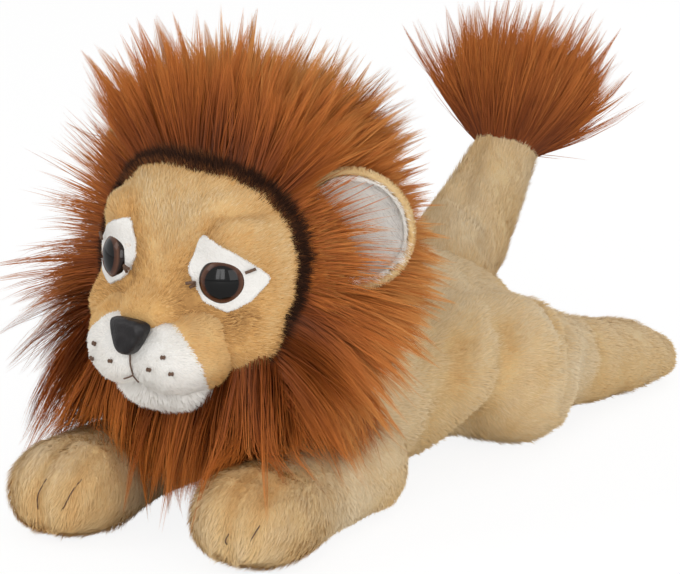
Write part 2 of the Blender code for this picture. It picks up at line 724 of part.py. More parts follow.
def make_tuft():
    """The tail's brush of long fur: locks that spread from the tail's tip."""
    root = Vector(TAIL.rows[-1][:3])
    way = Vector((0, TUFT_BACK, TUFT_RISE)).normalized()
    turned = Matrix.Translation(root) @ way.to_track_quat("Z", "Y").to_matrix().to_4x4()
    bm = bmesh.new()
    rings = []
    for along, half in TUFT:
        deep = TUFT_LOCK * max(0.0, along) / TUFT_LENGTH
        ring = []
        for index in range(2 * TUFT_LOCKS):
            short = deep * (index % 2)
            around = Matrix.Rotation(math.pi * index / TUFT_LOCKS, 3, "Z")
            spoke = around @ Vector((half - short, 0, along - short))
            ring.append(bm.verts.new(turned @ spoke))
        rings.append(ring)
    top = bm.verts.new(turned @ Vector((0, 0, TUFT_LENGTH)))
    for near, far in zip(rings, rings[1:]):
        for k in range(len(near)):
            bm.faces.new((near[k - 1], near[k], far[k], far[k - 1]))
    for k in range(len(rings[-1])):
        bm.faces.new((rings[-1][k - 1], rings[-1][k], top))
    bm.faces.new(rings[0])
    bmesh.ops.triangulate(bm, faces=bm.faces[:])
    tuft = object_of("tail_tuft", bm, TAIL.joint)
    boolean(tuft, helper(TAIL.form("tail_clear", LIMB_SIDES, -GAP, TAIL.joint)))
    tuft.data.materials.append(MANE_FUR)


make_tuft()
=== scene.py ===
import math

import bmesh
import bpy
import numpy as np
from mathutils import Matrix, Vector
from mathutils.bvhtree import BVHTree
from mathutils.kdtree import KDTree


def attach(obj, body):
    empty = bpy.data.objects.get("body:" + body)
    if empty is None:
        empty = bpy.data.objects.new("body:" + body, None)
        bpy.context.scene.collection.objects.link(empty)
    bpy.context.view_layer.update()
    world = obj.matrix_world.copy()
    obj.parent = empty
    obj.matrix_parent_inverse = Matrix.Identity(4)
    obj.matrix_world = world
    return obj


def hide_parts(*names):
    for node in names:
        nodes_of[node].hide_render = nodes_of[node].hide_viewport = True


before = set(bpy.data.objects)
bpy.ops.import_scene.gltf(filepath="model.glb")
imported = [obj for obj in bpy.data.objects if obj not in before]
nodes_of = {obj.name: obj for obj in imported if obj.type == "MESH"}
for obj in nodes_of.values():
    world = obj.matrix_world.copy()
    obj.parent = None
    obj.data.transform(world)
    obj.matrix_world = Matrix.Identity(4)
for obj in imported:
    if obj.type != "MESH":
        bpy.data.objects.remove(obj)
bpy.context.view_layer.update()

scene = bpy.context.scene

# Camera, from the front left and a little above, far enough away that the toy
# shows almost no perspective.
seen = Vector((-0.0015, -0.0041, 0.0580))
toward_camera = Vector((0.4714, -0.8505, 0.2334))
camera = bpy.data.objects.new("camera", bpy.data.cameras.new("camera"))
camera.data.lens, camera.data.sensor_width = 175, 36
camera.location = seen + 1.1 * toward_camera
camera.rotation_euler = (-toward_camera).to_track_quat("-Z", "Y").to_euler()
scene.collection.objects.link(camera)
scene.camera = camera
scene.view_settings.view_transform = "Standard"


def plug(tree, made, **inputs):
    """Gives a node's inputs their values, or links them to what other nodes put out."""
    for key, value in inputs.items():
        socket = made.inputs[int(key[1:]) if key[0] == "_" else key.replace("_", " ")]
        if isinstance(value, bpy.types.Node):
            value = value.outputs[0]
        if isinstance(value, bpy.types.NodeSocket):
            tree.links.new(value, socket)
        else:
            socket.default_value = value


def new_node(tree, kind, operation=None, **inputs):
    made = tree.nodes.new("ShaderNode" + kind)
    if operation:
        made.operation = operation
    plug(tree, made, **inputs)
    return made


def new_material(name, roughness):
    made = bpy.data.materials.new(name)
    made.use_nodes = True
    shader = made.node_tree.nodes["Principled BSDF"]
    shader.inputs["Roughness"].default_value = roughness
    return made, made.node_tree, shader


def dye(red, green, blue):
    """A colour given from 0 to 255, as the shaders want it."""
    shares = [c / 255 / 12.92 if c < 11 else ((c / 255 + 0.055) / 1.055) ** 2.4 for c in (red, green, blue)]
    return (*shares, 1)


def object_of(name, bm, material):
    mesh = bpy.data.meshes.new(name)
    bm.to_mesh(mesh)
    bm.free()
    mesh.shade_smooth()
    mesh.materials.append(material)
    made = bpy.data.objects.new(name, mesh)
    scene.collection.objects.link(made)
    return made


# Floor and soft light: a pale table that fades to white, a window of two panes
# before the toy, soft lamps at both sides and behind, and an even pale room.
table_white, table_tree, table_shader = new_material("table", 0.9)
plug(table_tree, table_shader, Base_Color=dye(244, 244, 243))
seen_by = new_node(table_tree, "LightPath").outputs
share = new_node(table_tree, "Math", "MULTIPLY", _0=seen_by["Is Camera Ray"], _1=0.85)
glow = new_node(table_tree, "Emission", Strength=1.05)
lit = new_node(table_tree, "MixShader", _0=share, _1=table_shader, _2=glow)
plug(table_tree, table_tree.nodes["Material Output"], Surface=lit)
table = bmesh.new()
bmesh.ops.create_circle(table, cap_ends=True, segments=64, radius=6)
bmesh.ops.translate(table, verts=table.verts[:], vec=(0, 0, -0.0002))
object_of("table_top", table, table_white)

room = bpy.data.worlds.new("room")
scene.world = room
room.use_nodes = True
air = room.node_tree
sky = air.nodes["Background"]
plug(air, sky, Color=(1, 1, 1, 1), Strength=0.53)
seen_by = new_node(air, "LightPath").outputs
either = new_node(air, "Math", "MAXIMUM", _0=seen_by["Is Camera Ray"], _1=seen_by["Is Glossy Ray"])
any_of = new_node(air, "Math", "MAXIMUM", _0=either, _1=seen_by["Is Transmission Ray"])
backdrop = new_node(air, "Background", Color=(1, 1, 1, 1))
lit = new_node(air, "MixShader", _0=any_of, _1=sky, _2=backdrop)
plug(air, air.nodes["World Output"], Surface=lit)
for name, place, size, watts in (
    ("window_pane", (0.20, -1.15, 0.48), (0.24, 0.70), 2.15),
    ("second_pane", (0.45, -1.03, 0.48), (0.24, 0.70), 2.15),
    ("soft", (-0.70, -0.85, 0.95), (0.60, 0.60), 2.4),
    ("fill", (0.98, -0.55, 0.42), (0.70, 0.70), 3.2),
    ("back", (0.10, 1.10, 0.90), (0.70, 0.70), 3.2),
):
    lamp = bpy.data.objects.new(name, bpy.data.lights.new(name, "AREA"))
    lamp.data.shape = "RECTANGLE"
    lamp.data.size, lamp.data.size_y = size
    lamp.data.energy = watts
    lamp.location = place
    lamp.rotation_euler = (seen - lamp.location).to_track_quat("-Z", "Y").to_euler()
    scene.collection.objects.link(lamp)

# Body: a long cover of short tan pile cloth, cut from a back and a belly panel,
# sewn together, turned and stuffed. The cloth is blown out by its filling and
# pulled in where the seams cross, and the pile on it is combed to the rear.
PILE_RISE = 0.0007
TORSO = (0.173, 0.080, 0.064)
TORSO_AHEAD = 0.078
TORSO_SHARES = (
    (0.13, 0.84, 0.88), (0.26, 0.97, 0.97), (0.42, 1.00, 1.00),
    (0.60, 0.97, 1.00), (0.76, 0.87, 0.92), (0.88, 0.68, 0.79),
)
# Dark brown, brown, airbrushed gold, tan, pale tan, cream
TAN_DYES = ((44, 28, 20), (132, 88, 52), (220, 171, 106), (229, 197, 144), (235, 215, 180), (248, 238, 220))
WHITE_DYES = ((204, 198, 188), (229, 226, 220), (245, 242, 237))


def stuffed_cover(rows, domes, inset, settled=False, sides=24):
    """A closed cover that swells and tapers along its rows: (x, y, z, half width, half height)."""
    rows = np.array(rows, float)
    rows[:, 3:] -= inset
    way = np.gradient(rows[:, :3], axis=0)
    way /= np.linalg.norm(way, axis=1)[:, None]
    start, end = domes[0] - inset, domes[1] - inset
    turns = [math.pi / 2 * k / 5 for k in range(1, 5)]
    rings = [(rows[0, :3] - way[0] * start * math.sin(t), way[0], rows[0, 3:] * math.cos(t)) for t in turns[::-1]]
    rings += [(row[:3], w, row[3:]) for row, w in zip(rows, way)]
    rings += [(rows[-1, :3] + way[-1] * end * math.sin(t), way[-1], rows[-1, 3:] * math.cos(t)) for t in turns]
    poles = rows[0, :3] - way[0] * start, rows[-1, :3] + way[-1] * end
    bm = bmesh.new()
    loops = []
    for centre, ahead, (wide, high) in rings:
        ahead = Vector(ahead)
        side = ahead.cross((0, 0, 1)).normalized()
        up = side.cross(ahead)
        turned = Matrix((side, up, ahead)).transposed().to_4x4()
        made = bmesh.ops.create_circle(bm, segments=sides, radius=1)
        for vert in made["verts"]:
            if settled and vert.co.y * up.z < 0:
                vert.co.x = math.copysign(abs(vert.co.x) ** 0.64, vert.co.x)
                vert.co.y = math.copysign(abs(vert.co.y) ** 0.80, vert.co.y)
            vert.co = Vector(centre) + turned @ Vector((vert.co.x * wide, vert.co.y * high, 0))
        loops.append(list({edge for vert in made["verts"] for edge in vert.link_edges}))
    for near, far in zip(loops, loops[1:]):
        bmesh.ops.bridge_loops(bm, edges=near + far)
    for loop, pole in ((loops[0], poles[0]), (loops[-1], poles[1])):
        drawn = bmesh.ops.extrude_edge_only(bm, edges=loop)
        tip = [part for part in drawn["geom"] if isinstance(part, bmesh.types.BMVert)]
        bmesh.ops.pointmerge(bm, verts=tip, merge_co=Vector(pole))
    bmesh.ops.recalc_face_normals(bm, faces=bm.faces[:])
    return bm


def egg(bm, centre, halves, rings=20):
    place = Matrix.Translation(centre) @ Matrix.Diagonal((*halves, 1))
    bmesh.ops.create_uvsphere(bm, u_segments=2 * rings, v_segments=rings, radius=1, matrix=place)


def places(mesh):
    found = np.empty(len(mesh.vertices) * 3)
    mesh.vertices.foreach_get("co", found)
    return found.reshape(-1, 3)


def facings(mesh):
    found = np.empty(len(mesh.vertices) * 3)
    mesh.vertices.foreach_get("normal", found)
    return found.reshape(-1, 3)


def move_to(mesh, found):
    mesh.vertices.foreach_set("co", np.ascontiguousarray(found, dtype=np.float32).ravel())
    mesh.update()


def shaped(piece, kind, **settings):
    """Applies one modifier to the piece for good."""
    modifier = piece.modifiers.new(kind.lower(), kind)
    for key, value in settings.items():
        setattr(modifier, key, value)
    graph = bpy.context.evaluated_depsgraph_get()
    graph.update()
    mesh = bpy.data.meshes.new_from_object(piece.evaluated_get(graph))
    piece.modifiers.clear()
    piece.data = mesh
    mesh.shade_smooth()


def sided(side, *points):
    """The same points on the toy's left (1) or its right (-1)."""
    return [(side * x, y, z) for x, y, z in points]


def off_line(found, line):
    """How far each point is from a line through the given points."""
    line = np.array(line, float)
    near = np.full(len(found), 9.0)
    for a, b in zip(line, line[1:]):
        t = np.clip((found - a) @ (b - a) / ((b - a) @ (b - a)), 0, 1)
        near = np.minimum(near, np.linalg.norm(found - a - t[:, None] * (b - a), axis=1))
    return near


def wander(found, size, seed):
    """A smooth random field from about -1 to 1, whose bumps are about size across."""
    rng = np.random.default_rng(seed)
    total = np.zeros(len(found))
    for _ in range(7):
        way = rng.normal(size=3)
        way *= 2 * math.pi / (size * rng.uniform(1.2, 2.6)) / np.linalg.norm(way)
        total += np.sin(found @ way + rng.uniform(0, 2 * math.pi))
    return total / 2.6


def crease(piece, line, wide, deep):
    """Presses a soft fold into the cover along a line, with the cloth a little fuller beside it."""
    mesh = piece.data
    found, faced = places(mesh), facings(mesh)
    t = off_line(found, line) / wide
    move_to(mesh, found - faced * (deep * (np.exp(-t * t * 1.6) - 0.32 * np.exp(-((t - 1.7) ** 2) * 2)))[:, None])


def swell(piece, seams, most=0.0016):
    """Blows the cover out from inside as filling does, with the cloth held at its seams."""
    mesh = piece.data
    before = places(mesh)
    held = piece.vertex_groups.new(name="sewn")
    for line in seams:
        for index in np.flatnonzero(off_line(before, line) < 0.0022):
            held.add([int(index)], 1.0, "REPLACE")
    cloth = piece.modifiers.new("filling", "CLOTH")
    settings = cloth.settings
    settings.quality = 4
    settings.mass = 0.2
    settings.use_pressure = True
    settings.uniform_pressure_force = 4
    settings.effector_weights.gravity = 0
    if seams:
        settings.vertex_group_mass = held.name
    for moment in range(1, 21):
        scene.frame_set(moment)
    graph = bpy.context.evaluated_depsgraph_get()
    after = places(piece.evaluated_get(graph).data)
    moved = after - before
    far = np.linalg.norm(moved, axis=1)
    moved *= np.minimum(1, most / np.maximum(far, 1e-9))[:, None]
    piece.modifiers.clear()
    piece.vertex_groups.clear()
    move_to(mesh, before + moved)
    scene.frame_set(1)


def flat_below(piece, floor):
    """The toy lies on the floor, so its cloth is flat there."""
    found = places(piece.data)
    found[:, 2] = np.maximum(found[:, 2], floor)
    move_to(piece.data, found)


def shade_ramp(tree, dyes, along, spread=1):
    """Runs through the dyes, evenly spaced, as along goes from 0 to 1."""
    ramp = new_node(tree, "ValToRGB", Fac=along)
    steps = ramp.color_ramp.elements
    for k, colour in enumerate(dyes):
        at = k / (len(dyes) - 1)
        step = steps[0] if k == 0 else steps[-1] if k == len(dyes) - 1 else steps.new(at)
        step.position = at
        step.color = dye(*[c * spread for c in colour])
    return ramp


def cloth_material(name, dyes):
    """The knitted backing between the hairs: the pile's shade, darker and finely ribbed."""
    made, tree, shader = new_material(name, 0.95)
    place = new_node(tree, "TexCoord").outputs["Object"]
    worn = new_node(tree, "Attribute")
    worn.attribute_name = "shade"
    spots = new_node(tree, "TexNoise", Vector=place, Scale=260, Detail=4)
    vary = new_node(tree, "Math", "MULTIPLY_ADD", _0=spots, _1=0.16, _2=worn.outputs["Fac"])
    ease = new_node(tree, "Math", "ADD", _0=vary, _1=-0.08)
    knit = new_node(tree, "TexNoise", Vector=place, Scale=1500)
    rib = new_node(tree, "Bump", Strength=0.6, Distance=0.0006, Height=knit)
    colour = shade_ramp(tree, dyes, ease, 0.94)
    plug(tree, shader, Specular_IOR_Level=0.1, Sheen_Weight=0.05, Base_Color=colour, Normal=rib)
    return made


def hair_material(name, dyes, root=0.84, roughness=0.8, shine=0.12, paler=0.04):
    """Dyed fibre. The map's first axis picks the shade and the second runs from root to tip."""
    made, tree, shader = new_material(name, roughness)
    spot = new_node(tree, "UVMap")
    spot.uv_map = "OFBake"
    apart = new_node(tree, "SeparateXYZ", _0=spot).outputs
    late = new_node(tree, "Math", "POWER", _0=apart["Y"], _1=1.7)
    toward_tip = new_node(tree, "Math", "MULTIPLY_ADD", _0=late, _1=paler, _2=apart["X"])
    deep = new_node(tree, "ValToRGB", Fac=apart["Y"])
    deep.color_ramp.elements[0].color = (root, root * 0.96, root * 0.92, 1)
    deep.color_ramp.elements[1].position = 0.7
    mixed = new_node(tree, "Mix")
    mixed.data_type, mixed.blend_type = "RGBA", "MULTIPLY"
    plug(tree, mixed, Factor=1, A=shade_ramp(tree, dyes, toward_tip), B=deep)
    plug(tree, shader, Specular_IOR_Level=shine, Base_Color=mixed.outputs["Result"])
    return made


def mottled(name, dyes, scale, roughness, rise=0, distortion=0, sheen=0):
    """A plain material whose colour and surface vary with one fine noise."""
    made, tree, shader = new_material(name, roughness)
    place = new_node(tree, "TexCoord").outputs["Object"]
    spots = new_node(tree, "TexNoise", Vector=place, Scale=scale, Distortion=distortion)
    plug(tree, shader, Sheen_Weight=sheen, Base_Color=shade_ramp(tree, dyes, spots))
    if rise:
        plug(tree, shader, Normal=new_node(tree, "Bump", Distance=rise, Height=spots))
    return made


def unit(vectors):
    return vectors / np.maximum(np.linalg.norm(vectors, axis=-1, keepdims=True), 1e-12)


def scatter(cloth, per_mm2, seed):
    """Hair roots, spread evenly by chance over a cover, and the way that the cloth faces there."""
    mesh = cloth.data
    mesh.calc_loop_triangles()
    corners = np.empty(len(mesh.loop_triangles) * 3, np.int32)
    mesh.loop_triangles.foreach_get("vertices", corners)
    corners = corners.reshape(-1, 3)
    found, faced = places(mesh), facings(mesh)
    a, b, c = found[corners].transpose(1, 0, 2)
    area = np.linalg.norm(np.cross(b - a, c - a), axis=1) / 2
    rng = np.random.default_rng(seed)
    drawn = rng.choice(len(corners), int(area.sum() * 1e6 * per_mm2), p=area / area.sum())
    u, v = rng.random((2, len(drawn)))
    over = u + v > 1
    u[over], v[over] = 1 - u[over], 1 - v[over]
    weight = np.stack([1 - u - v, u, v], 1)[:, :, None]
    root = (found[corners[drawn]] * weight).sum(1)
    return root, unit((faced[corners[drawn]] * weight).sum(1)), rng


def hair(name, path, wide, taper, shade, faced, roll, material):
    """One flat tapering fibre for each row of points in path."""
    count, levels = path.shape[:2]
    along = unit(np.gradient(path, axis=1))
    across = unit(np.cross(along, faced[:, None]))
    lift = np.cross(across, along)
    roll = np.clip(roll, -1.2, 1.2)
    across = across * np.cos(roll)[:, None, None] + lift * np.sin(roll)[:, None, None]
    half = (wide[:, None] * np.array(taper)[None])[:, :, None] / 2
    each = 2 * levels - 1
    found = np.empty((count, each, 3))
    found[:, 0:-1:2] = (path - across * half)[:, :-1]
    found[:, 1:-1:2] = (path + across * half)[:, :-1]
    found[:, -1] = path[:, -1]
    found[:, :, 2] = np.maximum(found[:, :, 2], 0.0002)
    ring = [[2 * k, 2 * k + 1, 2 * k + 3, 2 * k + 2] for k in range(levels - 2)]
    ring = np.array(sum(ring, []) + [2 * levels - 4, 2 * levels - 3, 2 * levels - 2])
    first = np.arange(levels - 1) * 4
    mesh = bpy.data.meshes.new(name)
    mesh.vertices.add(count * each)
    mesh.loops.add(count * len(ring))
    mesh.polygons.add(count * (levels - 1))
    mesh.vertices.foreach_set("co", found.astype(np.float32).ravel())
    steps = np.arange(count)[:, None]
    mesh.loops.foreach_set("vertex_index", (steps * each + ring).astype(np.int32).ravel())
    mesh.polygons.foreach_set("loop_start", (steps * len(ring) + first).astype(np.int32).ravel())
    mesh.update(calc_edges=True)
    mesh.shade_smooth()
    soft = unit(np.repeat(lift + faced[:, None] * 0.5, 2, axis=1)[:, :-1])
    leaning = mesh.attributes.new("custom_normal", "FLOAT_VECTOR", "POINT")
    leaning.data.foreach_set("vector", soft.astype(np.float32).ravel())
    up = np.repeat(np.arange(levels), 2)[:-1] / (levels - 1)
    side = np.tile([-0.004, 0.004], levels)[:-1]
    side[-1] = 0
    shade = np.clip(shade, 0, 1) * 0.98 + 0.01
    spots = np.stack([shade[:, None] + side, np.broadcast_to(up, (count, each)) * 0.98 + 0.01], 2)
    spots = spots[:, ring]
    mesh.uv_layers.new(name="OFBake").data.foreach_set("uv", spots.astype(np.float32).ravel())
    mesh.materials.append(material)
    made = bpy.data.objects.new(name, mesh)
    scene.collection.objects.link(made)
    return made


def pile(
    name, cloth, per_mm2, length, comb, tint, material, seed,
    lean=0.68, thin=0.00021, keep=None, trim=None, vary=0.025,
):
    """Short pile on a cover. comb gives the way it lies, tint its shade and trim its share of length."""
    root, faced, rng = scatter(cloth, per_mm2, seed)
    if keep is not None:
        kept = keep(root)
        root, faced = root[kept], faced[kept]
    way = comb(root)
    way = unit(way - faced * (way * faced).sum(1, keepdims=True))
    drift = np.stack([wander(root, 0.009, seed + k) for k in range(3)], 1) * 0.11
    drift += np.stack([wander(root, 0.0026, seed + 5 + k) for k in range(3)], 1) * 0.07
    drift += rng.normal(size=root.shape) * 0.10
    rise = unit(faced * (1 - lean) + way * lean + drift * 0.8)
    lie = unit(faced * (0.8 - lean) + way * lean * 1.2 + drift)
    long = length * rng.uniform(0.78, 1.08, len(root)) * (1 + 0.06 * wander(root, 0.006, seed + 9))
    if trim is not None:
        long *= trim(root)
    sunk = root - faced * 0.0003
    half = sunk + rise * (long * 0.5)[:, None]
    tip = half + lie * (long * 0.5)[:, None]
    shade = tint(root) + rng.normal(size=len(root)) * vary + 0.02 * wander(root, 0.005, seed + 11)
    wide = thin * rng.uniform(0.8, 1.3, len(root))
    path = np.stack([sunk, half, tip], 1)
    return hair(name, path, wide, (1, 0.85, 0), shade, faced, rng.normal(size=len(root)) * 0.3, material)


def shade_cloth(cloth, tint):
    """Keeps the shade of the pile that grows there with each point of the cover."""
    layer = cloth.data.attributes.new("shade", "FLOAT", "POINT")
    layer.data.foreach_set("value", tint(places(cloth.data)).astype(np.float32))


def filling_under(name, cloth, node, body):
    """The polyester fibre that fills a cover, a little inside it."""
    made = bpy.data.objects.new(name, cloth.data.copy())
    scene.collection.objects.link(made)
    move_to(made.data, places(made.data) - facings(made.data) * 0.0012)
    made.data.materials.clear()
    made.data.materials.append(fibre)
    shaped(made, "DECIMATE", ratio=0.3)
    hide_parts(node)
    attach(made, body)


fibre = mottled(
    "polyester_fibre", ((205, 205, 202), (238, 238, 236)), 400, 1.0, rise=0.001, distortion=2.0, sheen=0.3
)
tan_cloth = cloth_material("tan_cloth", TAN_DYES)
white_cloth = cloth_material("white_cloth", WHITE_DYES)
tan_pile = hair_material("tan_pile", TAN_DYES)
white_pile = hair_material("white_pile", WHITE_DYES, root=0.9)

torso_rows = [
    (0, a * TORSO[0] - TORSO_AHEAD, h * TORSO[2] / 2, w * TORSO[1] / 2, h * TORSO[2] / 2) for a, w, h in TORSO_SHARES
]
torso_ends = TORSO_SHARES[0][0] * TORSO[0], (1 - TORSO_SHARES[-1][0]) * TORSO[0]
body_bm = stuffed_cover(torso_rows, torso_ends, PILE_RISE, settled=True)
for side in (1, -1):
    egg(body_bm, (side * 0.0375, 0.0335, 0.0270), (0.0247, 0.0234, 0.0247))
    egg(body_bm, (side * 0.0290, 0.0130, 0.0335), (0.0218, 0.0320, 0.0205))
body_cloth = object_of("body_cloth", body_bm, tan_cloth)
shaped(body_cloth, "REMESH", mode="VOXEL", voxel_size=0.004)
shaped(body_cloth, "SMOOTH", iterations=6)
flank_folds = []
for side in (1, -1):
    flank_folds += [
        sided(side, (0.036, 0.012, 0.010), (0.045, 0.013, 0.022), (0.050, 0.016, 0.034), (0.047, 0.021, 0.043)),
        sided(side, (0.040, -0.014, 0.012), (0.044, -0.009, 0.028), (0.041, -0.001, 0.042)),
    ]
swell(body_cloth, flank_folds)
shaped(body_cloth, "SUBSURF", levels=1, render_levels=1)
for fold in flank_folds:
    crease(body_cloth, fold, 0.0075, 0.0023)
flat_below(body_cloth, 0.0012)


def body_tint(found):
    top = np.clip((found[:, 2] - 0.030) / 0.030, 0, 1)
    low = np.clip((0.022 - found[:, 2]) / 0.022, 0, 1)
    # Darker gold along the flank folds: painted shade in the folds.
    gold_and_fold_shade = sum(np.exp(-((off_line(found, fold) / 0.0045) ** 2)) for fold in flank_folds)
    return 0.69 + 0.03 * top - 0.09 * low - 0.15 * gold_and_fold_shade + 0.05 * wander(found, 0.030, 3)


def body_comb(found):
    way = np.zeros_like(found)
    way[:, 1] = 1
    way[:, 2] = -0.35 * np.clip(1 - found[:, 2] / 0.06, 0, 1)
    way[:, 0] = 0.25 * wander(found, 0.05, 8)
    return way


shade_cloth(body_cloth, body_tint)
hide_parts("body_cover")
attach(body_cloth, "body")
filling_under("body_filling", body_cloth, "body_stuffing", "body")
body_pile = pile(
    "body_pile", body_cloth, 2.0, 0.0036, body_comb, body_tint, tan_pile, 20, thin=0.00026,
    keep=lambda found: (found[:, 1] > -0.056) & (found[:, 2] > 0.003),
)
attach(body_pile, "body")

# Legs: each is a tube of the same pile cloth with a rounded end, stuffed, and sewn
# to the body at shoulder or haunch. The front paws have two pulled stitches each
# that part the toes, and the hind legs crumple at the ankle.
FRONT_LEG = (
    (0.0000, 0.0200, 0.0152, 0.0155, 0), (-0.0005, 0.0360, 0.0160, 0.0152, 0),
    (-0.0010, 0.0520, 0.0195, 0.0152, 0), (-0.0010, 0.0650, 0.0200, 0.0155, 0),
)
HIND_LEG = (
    (0.0000, 0.0100, 0.0229, 0.0243, 0.0010), (0.0002, 0.0208, 0.0190, 0.0202, 0.0042),
    (0.0015, 0.0350, 0.0168, 0.0172, 0.0036), (0.0040, 0.0570, 0.0154, 0.0158, 0.0006),
    (0.0078, 0.0820, 0.0150, 0.0134, 0), (0.0100, 0.0990, 0.0126, 0.0094, 0),
)


def limb(name, pivot, width, rows, seams, folds, tint, comb, density, long, seed, even=None):
    """A stuffed limb about its pivot, with its pile and its filling."""
    pivot = Vector(pivot)
    rows = [(0, 0, 0, width / 2, width / 2), *rows]
    rows = [(pivot.x + x, pivot.y + y, pivot.z + z, w, h) for x, y, z, w, h in rows]
    bm = stuffed_cover(rows, (width / 2, rows[-1][3]), PILE_RISE, settled=name != "tail")
    cloth = object_of(f"{name}_cloth", bm, tan_cloth)
    shaped(cloth, "REMESH", mode="VOXEL", voxel_size=0.0035)
    shaped(cloth, "SMOOTH", iterations=3)
    swell(cloth, seams, 0.0012)
    shaped(cloth, "SUBSURF", levels=1, render_levels=1)
    for line, wide, deep in folds:
        crease(cloth, line, wide, deep)
    flat_below(cloth, 0.0012)
    shade_cloth(cloth, tint)
    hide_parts(f"{name}_cover")
    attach(cloth, name)
    filling_under(f"{name}_filling", cloth, f"{name}_stuffing", name)
    trim = even
    if seams:
        def trim(found):
            near = np.min([off_line(found, line) for line in seams], 0)
            return even(found) * (1 - 0.45 * np.exp(-((near / 0.0016) ** 2)))
    fur = pile(f"{name}_pile", cloth, density, long, comb, tint, tan_pile, seed, trim=trim)
    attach(fur, name)
    return cloth


def leg_rows(side, width, table, along):
    floor = -width / 2 + 0.0005
    return [(side * out, along * far, floor + lift + high, wide, high) for out, far, wide, high, lift in table]


thread = mottled("brown_thread", ((58, 38, 28), (112, 80, 56)), 1800, 0.6, rise=0.0003)


def thread_stitches(name, lines, thick, body):
    """Lengths of sewing thread, each along its own few points."""
    curve = bpy.data.curves.new(name, "CURVE")
    curve.dimensions = "3D"
    curve.bevel_depth = thick / 2
    curve.bevel_resolution = 2
    curve.resolution_u = 6
    curve.use_fill_caps = True
    for line in lines:
        spline = curve.splines.new("NURBS")
        spline.points.add(len(line) - 1)
        for point, co in zip(spline.points, line):
            point.co = (*co, 1)
        spline.use_endpoint_u = True
        spline.order_u = min(3, len(line))
    made = bpy.data.objects.new(name, curve)
    scene.collection.objects.link(made)
    graph = bpy.context.evaluated_depsgraph_get()
    mesh = bpy.data.meshes.new_from_object(made.evaluated_get(graph))
    bpy.data.objects.remove(made)
    mesh.materials.clear()
    mesh.materials.append(thread)
    mesh.shade_smooth()
    made = bpy.data.objects.new(name, mesh)
    scene.collection.objects.link(made)
    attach(made, body)
    return made


def on_cloth(cloth, start, way, rise):
    """The point where a ray meets a cover, lifted off it by rise."""
    tree = BVHTree.FromPolygons([v.co for v in cloth.data.vertices], [p.vertices for p in cloth.data.polygons])
    spot, faced = tree.ray_cast(Vector(start), Vector(way).normalized())[:2]
    return spot + faced * rise


